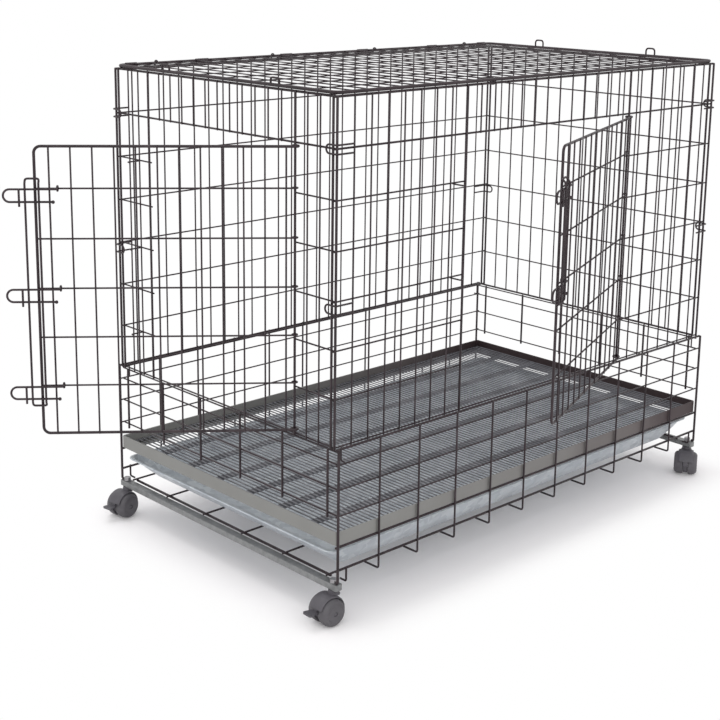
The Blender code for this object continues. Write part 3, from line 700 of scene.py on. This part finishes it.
def sleeve(work, x, matrix):
    """Short band round the back wall's top rail and the roof's rim."""
    rings = []
    for skin in (SLEEVE_SKIN, SLEEVE_SKIN - SLEEVE_SHEET):
        top = arc((0, LAYER, roof_level()), skin, 0, 180, 10, YZ)
        foot = arc((0, LAYER, level(0)), skin, 180, 360, 10, YZ)
        rings.append(top + foot)
    outer, inner = rings
    half = SLEEVE_HALF if abs(x) < SLEEVE_LAST else SLEEVE_LAST_HALF
    edge = half - SLEEVE_EDGE
    places = ((inner, -half), (outer, -edge), (outer, edge), (inner, half))
    rings = [[point + Vector((x + shift, 0, 0)) for point in ring] for ring, shift in places]
    loft(work, rings, wrap=True, matrix=matrix)


def upper_walls():
    half = LENGTH / 2
    front = bmesh.new()
    matrix = turned((0, -WIDTH / 2, 0), 0)
    keeper_x = SIDE_JAMB_HINGE - SIDE_DOOR_WIDE - KEEPER_OUT
    jambs = (SIDE_JAMB_FREE, SIDE_JAMB_HINGE)
    doorway_wall(front, matrix, half, jambs, SIDE_SPACES, keeper_x, SIDE_BOLT_LEVELS)
    add_feet(front, matrix)
    finish_piece(front, "upper_wall_front", COAT, "cage")
    back = bmesh.new()
    matrix = turned((0, WIDTH / 2, 0), 180)
    plain_wall(back, matrix, half, BACK_SPACES)
    add_feet(back, matrix)
    pitch = LENGTH / BACK_SPACES
    for number in EYE_PLACES:
        x = pitch * number
        middle = (x, LAYER, roof_level())
        eye = arc(middle, RIM + GAP + THIN, 180, -10, 14, YZ)
        start = Vector((x, LAYER - THICK, level(0) - THICK))
        tube(back, [start, Vector((x, -THIN, roof_level() - RIM)), *eye], THIN, matrix=matrix)
    for x in (-SLEEVE_LAST, *[pitch * number for number in SLEEVE_PLACES], SLEEVE_LAST):
        sleeve(back, x, matrix)
    finish_piece(back, "upper_wall_back", COAT, "cage")
    end_half = WIDTH / 2 - END_INSET
    left = bmesh.new()
    matrix = turned((-LENGTH / 2, 0, 0), -90)
    jambs = (-END_JAMB_FREE, -END_JAMB_HINGE)
    keeper_x = -(END_JAMB_HINGE + END_DOOR_WIDE + KEEPER_OUT)
    doorway_wall(left, matrix, end_half, jambs, END_SPACES, keeper_x, END_BOLT_LEVELS)
    finish_piece(left, "upper_wall_left", COAT, "cage")
    right = bmesh.new()
    matrix = turned((LENGTH / 2, 0, 0), 90)
    plain_wall(right, matrix, end_half, END_WALL_SPACES)
    finish_piece(right, "upper_wall_right", COAT, "cage")


def corner_clips():
    """Hairpins round the corners, closed on the end wall and open along the long wall."""
    skin = THICK + GAP + THIN
    x = LENGTH / 2
    y = WIDTH / 2
    foot = y - END_INSET - skin
    prongs = []
    for z in (CLIP_HALF, -CLIP_HALF):
        prong = [(x - CLIP_REACH, y + skin, z), (x + skin, y + skin, z), (x + skin, foot, z)]
        prongs.append(round_bends(prong, CLIP_BEND))
    bend = arc((x + skin, foot, 0), CLIP_HALF, 90, -90, 12, ((0, -1, 0), (0, 0, 1)))
    path = prongs[0][:-1] + bend + prongs[1][::-1][1:]
    number = 0
    for along, side in ((-1, -1), (-1, 1), (1, -1), (1, 1)):
        for middle in CLIP_LEVELS:
            number += 1
            work = bmesh.new()
            matrix = Matrix.Translation((0, 0, middle)) @ Matrix.Diagonal((along, side, 1, 1))
            tube(work, path, ROUND_CLIP, matrix=matrix)
            finish_piece(work, "corner_clip_" + str(number), COAT, "cage")


# Low walls and base

def bar_top():
    return RUNNER_LEVEL - LAYER - THICK - GAP


def grille_frame_top():
    return GRILLE_RAIL + THICK + GAP + FRAME_HIGH


def low_walls():
    half = LENGTH / 2
    for name, side in (("low_wall_front", -1), ("low_wall_back", 1)):
        work = bmesh.new()
        matrix = turned((0, side * LOW_WIDTH / 2, 0), 0 if side < 0 else 180)
        foot = bar_top() + GAP + THICK
        for x in (-half, half):
            path = [(x, 0, WALL_FOOT + PAST), (x, 0, foot), (x, CORNER_FOOT_REACH, foot)]
            tube(work, round_bends(path, SMALL_BEND), THICK, matrix=matrix)
        for x in (-half + SHORT_HOOK_INSET, half - SHORT_HOOK_INSET):
            path = [(x, 0, TRAY_RAIL + PAST), (x, 0, HOOK_LEVEL)]
            path.append((x, SHORT_HOOK_REACH, HOOK_LEVEL))
            tube(work, round_bends(path, SMALL_BEND), ROUND_STOUT, matrix=matrix)
        for x in spaced(-half, half, LOW_SPACES):
            path = [(x, 0, WALL_FOOT + PAST), (x, 0, HOOK_LEVEL), (x, HOOK_REACH, HOOK_LEVEL)]
            tube(work, round_bends(path, HOOK_BEND), ROUND_STOUT, matrix=matrix)
        for z in (WALL_FOOT, GRILLE_RAIL, TRAY_RAIL):
            rail(work, matrix, z, -half - THICK, half + THICK, THICK, LOW_LAYER)
        for z in LOW_RAILS:
            rail(work, matrix, z, -half - THICK, half + THICK, THIN, LOW_LAYER)
        finish_piece(work, name, COAT, "cage")
    reach = LOW_WIDTH / 2 - LOW_LAYER - THICK - GAP
    top = WALL_FOOT - 2 * THICK - GAP
    for name, side in (("low_wall_left", -1), ("low_wall_right", 1)):
        work = bmesh.new()
        matrix = turned((side * LOW_END_X, 0, 0), -90 if side < 0 else 90)
        for number in range(LOW_END_POSTS):
            y = (number - (LOW_END_POSTS - 1) / 2) * LOW_END_PITCH
            post(work, matrix, y, LOW_RAILS[-1] - LOW_END_TAIL, top + PAST, THICK)
        rail(work, matrix, top, -reach, reach, THIN, LOW_LAYER)
        for z in LOW_RAILS:
            rail(work, matrix, z, -reach, reach, THIN, LOW_LAYER)
        finish_piece(work, name, COAT, "cage")
    runners = bmesh.new()
    for number in range(RUNNER_COUNT):
        y = (number - (RUNNER_COUNT - 1) / 2) * RUNNER_PITCH
        far = CROSS_X + RUNNER_PAST
        tube(runners, [(-far, y, RUNNER_LEVEL), (far, y, RUNNER_LEVEL)], STOUT)
    for side in (-1, 1):
        x = side * CROSS_X
        z = RUNNER_LEVEL - LAYER
        tube(runners, [(x, -CROSS_REACH, z), (x, CROSS_REACH, z)], THICK)
    finish_piece(runners, "tray_rails", COAT, "cage")


def base_parts():
    for name, side in (("left", -1), ("right", 1)):
        work = bmesh.new()
        heights = (bar_top() - BAR_HIGH, bar_top())
        plate(work, BAR_WIDE / 2, BAR_REACH, BAR_CORNER, heights, (side * BAR_X, 0, 0), 4)
        bar = finish_piece(work, "base_bar_" + name, BASE, "cage", smooth=False)
        soften(bar, width=0.0008, segments=3)


# Grille and tray

def grille():
    low = grille_frame_top() - FRAME_HIGH
    work = bmesh.new()
    profile = (
        (0, 0),
        (0, FRAME_HIGH),
        (FRAME_SHEET, FRAME_HIGH),
        (FRAME_SHEET, FRAME_SHEET),
        (FRAME_FLANGE, FRAME_SHEET),
        (FRAME_FLANGE, 0),
    )
    rings = []
    for inset, rise in profile:
        corner = max(FRAME_CORNER - inset, FRAME_INNER_CORNER)
        rings.append(rounded_rectangle(FRAME_X - inset, FRAME_Y - inset, corner, low + rise, 3))
    loft(work, rings, wrap=True)
    angle = finish_piece(work, "grille_frame", FRAME_COAT_AND_REFLECTION, "cage", smooth=False)
    soften(angle, width=0.0006, segments=3)
    half_x = FRAME_X - FRAME_SHEET - GAP
    half_y = FRAME_Y - FRAME_SHEET - GAP
    base = low + FRAME_SHEET + GAP
    floor = base + SUPPORT_THICK + GAP
    bars = bmesh.new()
    pitch = (2 * half_x - BAR_THICK) / (BAR_COUNT + 1)
    z = floor + BAR_THICK / 2
    for index in range(BAR_COUNT + 2):
        x = -half_x + BAR_THICK / 2 + index * pitch
        end = half_y - BAR_SHORT
        tube(bars, [(x, -end, z), (x, end, z)], ROUND_BAR, sides=8)
    strip_x = half_x - STRIP_SHORT
    heights = (base + SUPPORT_LIFT, base + SUPPORT_THICK + SUPPORT_BITE)
    for number in range(SUPPORT_COUNT):
        y = (number - (SUPPORT_COUNT - 1) / 2) * SUPPORT_PITCH
        plate(bars, strip_x, SUPPORT_WIDE / 2, SUPPORT_CORNER, heights, (0, y, 0))
    # Strips that join the bars' ends
    heights = [floor + height for height in STRIP_HEIGHTS]
    for y in (STRIP_INSET - half_y, half_y - STRIP_INSET):
        plate(bars, strip_x, STRIP_HALF, STRIP_CORNER, heights, (0, y, 0))
    piece = finish_piece(bars, "grille_bars", GRILLE_COAT, "cage")
    soften(piece, width=0.0003)


def tray():
    """Pressed sheet tray; each ring is (inset, share of the slope, height, corner)."""
    work = bmesh.new()
    base = RUNNER_LEVEL + STOUT + GAP
    rise = TRAY_HIGH
    half_way = rise * 0.48
    sheet = TRAY_SHEET
    profile = [
        (TRAY_LIP + 0.004, 1, 0, 0.008),
        (TRAY_LIP + 0.001, 1, 0.0006, 0.009),
        (TRAY_LIP, 0.5, half_way, 0.012),
        (TRAY_LIP + 0.0012, 0, rise - sheet - 0.0012, 0.014),
        (TRAY_LIP - 0.0004, 0, rise - sheet - 0.0002, 0.015),
        (0.0008, 0, rise - sheet - 0.0007, 0.016),
        (0.0, 0, rise - sheet * 0.6, 0.016),
        (0.0006, 0, rise - 0.0001, 0.016),
        (TRAY_LIP + sheet * 0.6, 0, rise, 0.014),
        (TRAY_LIP + sheet + 0.001, 0, rise - 0.0012, 0.013),
        (TRAY_LIP + sheet, 0.5, half_way, 0.011),
        (TRAY_LIP + sheet + 0.001, 1, sheet + 0.0006, 0.008),
        (TRAY_LIP + sheet + 0.005, 1, sheet, 0.007),
    ]
    rings = []
    for inset, slope, height, corner in profile:
        x = TRAY_RIM_X - inset - slope * TRAY_END_SLOPE
        y = TRAY_RIM_Y - inset - slope * TRAY_SIDE_SLOPE
        rings.append(rounded_rectangle(x, y, corner, base + height, 7))
    loft(work, rings)
    finish_piece(work, "tray", ZINC, "slide_out_tray")


# Roof

def roof():
    half_x = LENGTH / 2 - LAYER
    deep = WIDTH - 2 * LAYER
    matrix = Matrix.Translation((0, WIDTH / 2 - LAYER, roof_level()))
    work = bmesh.new()
    rim = [(half_x, 0, 0), (-half_x, 0, 0), (-half_x, -deep, 0), (half_x, -deep, 0)]
    rim = round_bends(rim, ROOF_CORNER, 8, closed=True)
    tube(work, rim, RIM, closed=True, sides=12, matrix=matrix)
    low = WELD - ROUND_ROOF
    for y in spaced(-deep, 0, ROOF_SPACES):
        tube(work, [(-half_x, y, low), (half_x, y, low)], ROUND_ROOF, matrix=matrix)
    for x in spaced(-half_x, half_x, BACK_SPACES):
        tube(work, [(x, -deep, ROUND_ROOF), (x, 0, ROUND_ROOF)], ROUND_ROOF, matrix=matrix)
    for x, high in ((-half_x, LOW_LOOP_HIGH), (half_x, LOOP_HIGH)):
        for share in LOOP_SHARES:
            near = -share * deep - LOOP_HALF
            far = -share * deep + LOOP_HALF
            path = [(x, near, 0), (x, near, high), (x, far, high), (x, far, 0)]
            tube(work, round_bends(path, LOOP_BEND, 8), STOUT, matrix=matrix)
    finish_piece(work, "roof", COAT, "roof_panel")


# Doors and bolts

def door_heights():
    heights = [level(number) + DOOR_RISE for number in range(2, LEVEL_COUNT + 1)]
    return [level(1) - DOOR_TOP_DROP, *heights]


def door_uprights(wide):
    last = wide - DOOR_LAST
    count = round((last - DOOR_FIRST) / DOOR_PITCH)
    return [DOOR_FIRST, *spaced(DOOR_FIRST, last, count), last]


def hinge_curl(z, radius):
    """End of a door's wire, curled round the jamb."""
    return arc((0, 0, z), THICK + GAP + radius, 90, 370, 18, XY)


def door(name, wide, matrix, body):
    """Door of one bent edge wire; its ends and its level wires curl round the jamb."""
    heights = door_heights()
    work = bmesh.new()
    top = heights[0]
    low = heights[-1]
    y = THICK + GAP + THICK
    upper = arc((wide - DOOR_CORNER, y, top - DOOR_CORNER), DOOR_CORNER, 0, 90, 8, XZ)
    lower = arc((wide - DOOR_CORNER, y, low + DOOR_CORNER), DOOR_CORNER, 270, 360, 8, XZ)
    path = hinge_curl(low, THICK)[::-1] + lower + upper + hinge_curl(top, THICK)
    tube(work, path, THICK, matrix=matrix)
    for z in heights[1:-1]:
        start = [Vector((wide - THICK * 0.5, door_rail_plane(), z))]
        tube(work, start + hinge_curl(z, THIN), THIN, matrix=matrix)
    places = door_uprights(wide)
    plane_y = door_upright_plane() - WELD
    for x in places:
        radius = DOOR_EDGE_WIRE if x in (places[0], places[-1]) else ROUND_THIN
        tube(work, [(x, plane_y, low - PAST), (x, plane_y, top + PAST)], radius, matrix=matrix)
    finish_piece(work, name, COAT, body)


def carrier(name, wide, bolts, matrix, body):
    """Long loop on the door's free side that the bolts slide in."""
    work = bmesh.new()
    seat = 2 * THICK + GAP + THICK + GAP + STOUT
    out = bolt_plane() + STOUT + GAP + STOUT
    top = level(bolts[0]) + DOOR_RISE + CARRIER_ABOVE
    low = level(bolts[-1]) + DOOR_RISE - BOLT_TALL - CARRIER_BELOW
    inner = wide - CARRIER_IN
    outer = wide + CARRIER_OUT
    path = [
        (inner, out, low + CARRIER_SLANT),
        (inner, out, top - CARRIER_SLANT),
        (inner, seat, top),
        (outer, seat, top),
        (outer, out, top - CARRIER_SLANT),
        (outer, out, low + CARRIER_SLANT),
        (outer, seat, low),
        (inner, seat, low),
    ]
    path = round_bends(path, HOOK_BEND, closed=True)
    tube(work, path, STOUT, closed=True, matrix=matrix)
    finish_piece(work, name, COAT, body)


def bolt(name, wide, number, matrix, body):
    """Wire bolt: a curl on the door's level wire, two legs, a thumb wire and a round end."""
    places = door_uprights(wide)
    end = (places[-1] + places[-2]) / 2 + BOLT_CURL_SHIFT
    y = bolt_plane()
    radius = BOLT_TALL / 2
    curl = arc((end, door_rail_plane(), 0), THIN + GAP + STOUT, 10, 290, 14, YZ)
    nose = arc((wide + BOLT_OUT - radius, y, -radius), radius, 90, -90, 14, XZ)
    corner = [Vector((end, y - BOLT_STEP_OUT, 0)), Vector((end + BOLT_STEP_ALONG, y, 0))]
    legs = curl[::-1] + corner + nose + [Vector((wide - BOLT_IN, y, -BOLT_TALL))]
    matrix = matrix @ Matrix.Translation((0, 0, level(number) + DOOR_RISE))
    work = bmesh.new()
    tube(work, legs, STOUT, matrix=matrix)
    x = wide + THUMB_OUT
    plane = y + 2 * STOUT - THUMB_BITE
    thumb = [(x, plane, PAST), (x, plane, -BOLT_TALL - THUMB_TAIL)]
    tube(work, thumb, STOUT, matrix=matrix)
    knob = matrix @ Matrix.Translation((wide - BOLT_IN, y + KNOB_SHIFT, -BOLT_TALL))
    bmesh.ops.create_icosphere(work, subdivisions=3, radius=KNOB_RADIUS, matrix=knob)
    finish_piece(work, name, COAT, body)


def doors():
    end_matrix = turned((-LENGTH / 2, END_JAMB_HINGE, 0), 90 + END_DOOR_OPEN)
    side_matrix = turned((SIDE_JAMB_HINGE, -WIDTH / 2, 0), 180 + SIDE_DOOR_OPEN)
    for place, wide, matrix, bolts in (
        ("end", END_DOOR_WIDE, end_matrix, END_BOLT_LEVELS),
        ("side", SIDE_DOOR_WIDE, side_matrix, SIDE_BOLT_LEVELS),
    ):
        body = place + "_door_panel"
        door(place + "_door", wide, matrix, body)
        carrier(place + "_bolt_carrier", wide, bolts, matrix, body)
        for index, number in enumerate(bolts):
            name = place + "_bolt_" + str(index + 1)
            bolt(name, wide, number, matrix, name + "_wire")


# Casters

def around(count):
    """Angles of that many even steps of a full turn."""
    return [2 * math.pi * index / count for index in range(count)]


def lathe(work, profile, matrix, sides=48, closed=True):
    """Turned solid about the local Y axis; profile is (radius, y)."""
    turns = around(sides)
    rings = []
    for radius, y in profile:
        rings.append([(radius * math.cos(a), y, radius * math.sin(a)) for a in turns])
    loft(work, rings, wrap=closed, matrix=matrix)


def wheel(name, side, matrix, body):
    """Moulded wheel with a rounded tread, a recessed face and a hub cap ring."""
    r = WHEEL_RADIUS
    w = WHEEL_WIDE
    profile = [
        (AXLE_RADIUS + 0.0002, 0.0),
        (r - 0.0012, 0.0),
        (r - 0.0002, 0.0008),
        (r, 0.002),
        (r, w * 0.50),
        (r - 0.0006, w * 0.68),
        (r - 0.0018, w * 0.83),
        (r - 0.0036, w * 0.94),
        (r - 0.0058, w),
        (r - 0.0064, w),
        (r - 0.0068, w - 0.0004),
        (r - 0.0074, w - 0.0004),
        (r - 0.0078, w),
        (r - 0.0160, w),
        (AXLE_RADIUS + 0.0002, w),
    ]
    profile = [(radius, side * (WHEEL_GAP + across)) for radius, across in profile]
    work = bmesh.new()
    lathe(work, profile, matrix)
    piece = finish_piece(work, name, TREAD, body)
    soften(piece, width=0.0003)


def hood(name, matrix, body):
    """Rounded cover, central web and neck."""
    inner = WHEEL_RADIUS + HOOD_GAP
    outer = inner + HOOD_SHEET
    reach = HOOD_REACH
    work = bmesh.new()
    rings = []
    section = [
        (inner, -reach), (inner, 0.0), (inner, reach),
        (inner + 0.0006, reach), (outer - 0.0012, reach - 0.0001),
        (outer - 0.0004, reach - 0.0012), (outer, reach - 0.004), (outer, 0.0),
        (outer, -reach + 0.004), (outer - 0.0004, -reach + 0.0012),
        (outer - 0.0012, -reach + 0.0001), (inner + 0.0006, -reach),
    ]
    for degrees in HOOD_TURN:
        angle = math.radians(degrees)
        ring = []
        for radius, y in section:
            x = TRAIL + radius * math.cos(angle)
            ring.append((x, y, WHEEL_RADIUS + radius * math.sin(angle)))
        rings.append(ring)
    loft(work, rings, matrix=matrix)
    half = WHEEL_GAP - GAP
    web = []
    radius = (inner + outer) / 2
    for degrees in WEB_TURN:
        angle = math.radians(degrees)
        x = TRAIL + radius * math.cos(angle)
        web.append((x, WHEEL_RADIUS + radius * math.sin(angle)))
    web += [(TRAIL + x, WHEEL_RADIUS + z) for x, z in WEB_FOOT]
    nose = TRAIL + LEVER_OUT - NOSE_SHORT
    web += [(nose, LEVER_HEIGHT - NOSE_HALF), (nose, LEVER_HEIGHT + NOSE_HALF)]
    loft(work, [[(x, y, z) for x, z in web] for y in (-half, half)], matrix=matrix)
    neck_top = bar_top() - BAR_HIGH - GAP
    neck = (
        (NECK_RADIUS + 0.0022, NECK_LOW),
        (NECK_RADIUS + 0.0010, NECK_LOW + 0.0016),
        (NECK_RADIUS + 0.0003, NECK_LOW + 0.0034),
        (NECK_RADIUS, neck_top - 0.0006),
        (NECK_RADIUS - 0.0006, neck_top),
    )
    rings = []
    for radius, z in neck:
        rings.append([(radius * math.cos(a), radius * math.sin(a), z) for a in around(32)])
    loft(work, rings, matrix=matrix)
    piece = finish_piece(work, name, PLASTIC, body)
    soften(piece, width=0.0005)


def stem_ring(radius, z, hexagon=False):
    """Round ring of twelve points, or a hexagon with points in the middle of its sides."""
    made = []
    for index, angle in enumerate(around(12)):
        size = radius
        if hexagon and index % 2 == 1:
            size = radius * math.cos(math.pi / 6)
        made.append((size * math.cos(angle), size * math.sin(angle), z))
    return made


def stem(name, matrix, body):
    """Bolt with a chamfered hexagon head."""
    seat = bar_top() + GAP
    high = seat + NUT_HIGH
    rings = [
        stem_ring(STEM_RADIUS - 0.0004, STEM_LOW),
        stem_ring(STEM_RADIUS, STEM_LOW + 0.0006),
        stem_ring(STEM_RADIUS, seat),
        stem_ring(NUT_RADIUS, seat, hexagon=True),
        stem_ring(NUT_RADIUS, high - 0.0010, hexagon=True),
        stem_ring(NUT_RADIUS * 0.88, high),
        stem_ring(STEM_RADIUS * 0.9, high),
        stem_ring(STEM_RADIUS * 0.8, high - 0.0004),
    ]
    work = bmesh.new()
    loft(work, rings, matrix=matrix)
    piece = finish_piece(work, name, BRIGHT, body, smooth=False)
    soften(piece, width=0.0002)


def axle(name, matrix, body):
    reach = WHEEL_GAP + WHEEL_WIDE - 0.0002
    r = AXLE_RADIUS
    profile = [(r * 0.3, -reach), (r * 0.8, -reach + 0.0002), (r, -reach + 0.0008)]
    profile += [(radius, -y) for radius, y in reversed(profile)]
    work = bmesh.new()
    lathe(work, profile, matrix, 24, closed=False)
    finish_piece(work, name, PLASTIC, body)


def brake_lever(name, matrix, body):
    """Foot lever with a rounded tip and three grip ribs."""
    path = [*LEVER_EDGE, *[(u, -v) for u, v in reversed(LEVER_EDGE)]]
    work = bmesh.new()
    loft(work, [[(u, v, z) for u, v in path] for z in LEVER_LAYERS], matrix=matrix)
    for x in RIB_PLACES:
        shift = (x, 0, 0)
        plate(work, RIB_HALF_LONG, RIB_HALF_WIDE, RIB_CORNER, RIB_LAYERS, shift, matrix=matrix)
    piece = finish_piece(work, name, PLASTIC, body, smooth=False)
    soften(piece, width=0.0004, segments=3)


def casters():
    for name, along, side, heading in SWIVELS:
        matrix = turned((along * STEM_X, side * STEM_Y, 0), heading)
        stem("caster_stem_" + name, matrix, "cage")
        hood("caster_hood_" + name, matrix, "swivel_" + name)
        centre = matrix @ Matrix.Translation((TRAIL, 0, WHEEL_RADIUS))
        rolling = "wheels_" + name
        axle("caster_axle_" + name, centre, rolling)
        wheel("caster_wheel_" + name + "_a", -1, centre, rolling)
        wheel("caster_wheel_" + name + "_b", 1, centre, rolling)
        if along < 0:
            pivot = matrix @ Matrix.Translation((TRAIL + LEVER_OUT, 0, LEVER_HEIGHT))
            brake_lever("brake_lever_" + name, pivot, "brake_" + name)


# Studio

FLOOR_HALF = 9
FLOOR_COLOUR = (0.955, 0.935, 0.945, 1)
WHITE = (1, 1, 1, 1)
SHADE_BOX = (0.445, 0.265, 0.0)  # half sizes of the cage's place on the floor
SHADE_NEAR = -0.02  # where the floor starts and ends its fade, from that box
SHADE_FAR = 0.10
LAMP_AIM = Vector((0, 0, 0.3))
LAMPS = (
    ("key_light", (-0.5, 1.0, 3.0), 17.0, 1.3),
    ("fill_light", (-1.8, -2.2, 2.0), 16.0, 2.2),
)
CAMERA_SPOT = (-1.6376, -1.5692, 0.9196)
CAMERA_FORWARD = (0.66799, 0.71227, -0.21557)
CAMERA_RIGHT = (0.73109, -0.68219, 0.01139)
CAMERA_LENS = 69.93
CAMERA_SENSOR = 36.0
CAMERA_SHIFT = (0.0116, -0.15)


def floor_material():
    """Pale floor that keeps the shadow near the cage and fades to white."""
    made = bpy.data.materials.new("studio_floor")
    made.use_nodes = True
    tree = made.node_tree
    tree.nodes.clear()
    output = tree.nodes.new("ShaderNodeOutputMaterial")
    diffuse = tree.nodes.new("ShaderNodeBsdfDiffuse")
    diffuse.inputs["Color"].default_value = FLOOR_COLOUR
    white = tree.nodes.new("ShaderNodeEmission")
    set_inputs(white, {"Color": WHITE, "Strength": 1.0})
    place = tree.nodes.new("ShaderNodeTexCoord")
    vector = place.outputs["Object"]
    steps = (("ABSOLUTE", None), ("SUBTRACT", SHADE_BOX), ("MAXIMUM", (0.0, 0.0, 0.0)))
    for operation, value in steps:
        step = tree.nodes.new("ShaderNodeVectorMath")
        step.operation = operation
        tree.links.new(vector, step.inputs[0])
        if value:
            step.inputs[1].default_value = value
        vector = step.outputs["Vector"]
    length = tree.nodes.new("ShaderNodeVectorMath")
    length.operation = "LENGTH"
    tree.links.new(vector, length.inputs[0])
    fade = tree.nodes.new("ShaderNodeMapRange")
    fade.interpolation_type = "SMOOTHSTEP"
    set_inputs(fade, {"From Min": SHADE_NEAR, "From Max": SHADE_FAR})
    tree.links.new(length.outputs["Value"], fade.inputs["Value"])
    rays = tree.nodes.new("ShaderNodeLightPath")
    seen = tree.nodes.new("ShaderNodeMath")
    seen.operation = "MAXIMUM"
    tree.links.new(rays.outputs["Is Camera Ray"], seen.inputs[0])
    tree.links.new(rays.outputs["Is Glossy Ray"], seen.inputs[1])
    factor = tree.nodes.new("ShaderNodeMath")
    factor.operation = "MULTIPLY"
    tree.links.new(fade.outputs["Result"], factor.inputs[0])
    tree.links.new(seen.outputs["Value"], factor.inputs[1])
    mix = tree.nodes.new("ShaderNodeMixShader")
    tree.links.new(factor.outputs["Value"], mix.inputs["Fac"])
    tree.links.new(diffuse.outputs["BSDF"], mix.inputs[1])
    tree.links.new(white.outputs["Emission"], mix.inputs[2])
    tree.links.new(mix.outputs["Shader"], output.inputs["Surface"])
    return made


def studio():
    half = FLOOR_HALF
    corners = [(-half, -half, 0), (half, -half, 0), (half, half, 0), (-half, half, 0)]
    mesh = bpy.data.meshes.new("studio_floor")
    mesh.from_pydata(corners, [], [(0, 1, 2, 3)])
    mesh.materials.append(floor_material())
    ground = bpy.data.objects.new("studio_floor", mesh)
    bpy.context.scene.collection.objects.link(ground)
    world = bpy.data.worlds.new("studio_world")
    bpy.context.scene.world = world
    world.use_nodes = True
    set_inputs(world.node_tree.nodes["Background"], {"Color": WHITE, "Strength": 1.0})
    for name, spot, power, size in LAMPS:
        data = bpy.data.lights.new(name, "AREA")
        data.energy = power
        data.size = size
        lamp = bpy.data.objects.new(name, data)
        lamp.location = spot
        lamp.rotation_euler = (LAMP_AIM - Vector(spot)).to_track_quat("-Z", "Y").to_euler()
        bpy.context.scene.collection.objects.link(lamp)


def camera():
    """The photograph's view; the small shift keeps the cage in frame."""
    data = bpy.data.cameras.new("view_camera")
    eye = bpy.data.objects.new("view_camera", data)
    bpy.context.scene.collection.objects.link(eye)
    data.sensor_width = CAMERA_SENSOR
    data.lens = CAMERA_LENS
    data.shift_x, data.shift_y = CAMERA_SHIFT
    data.clip_start = 0.02
    forward = Vector(CAMERA_FORWARD).normalized()
    right = Vector(CAMERA_RIGHT).normalized()
    up = right.cross(forward).normalized()
    right = forward.cross(up)
    rotation = Matrix((right, up, -forward)).transposed()
    eye.matrix_world = Matrix.Translation(CAMERA_SPOT) @ rotation.to_4x4()
    bpy.context.scene.camera = eye


camera()
low_walls()
base_parts()
grille()
tray()
upper_walls()
corner_clips()
roof()
doors()
casters()
studio()
bpy.context.scene.view_settings.view_transform = "Standard"
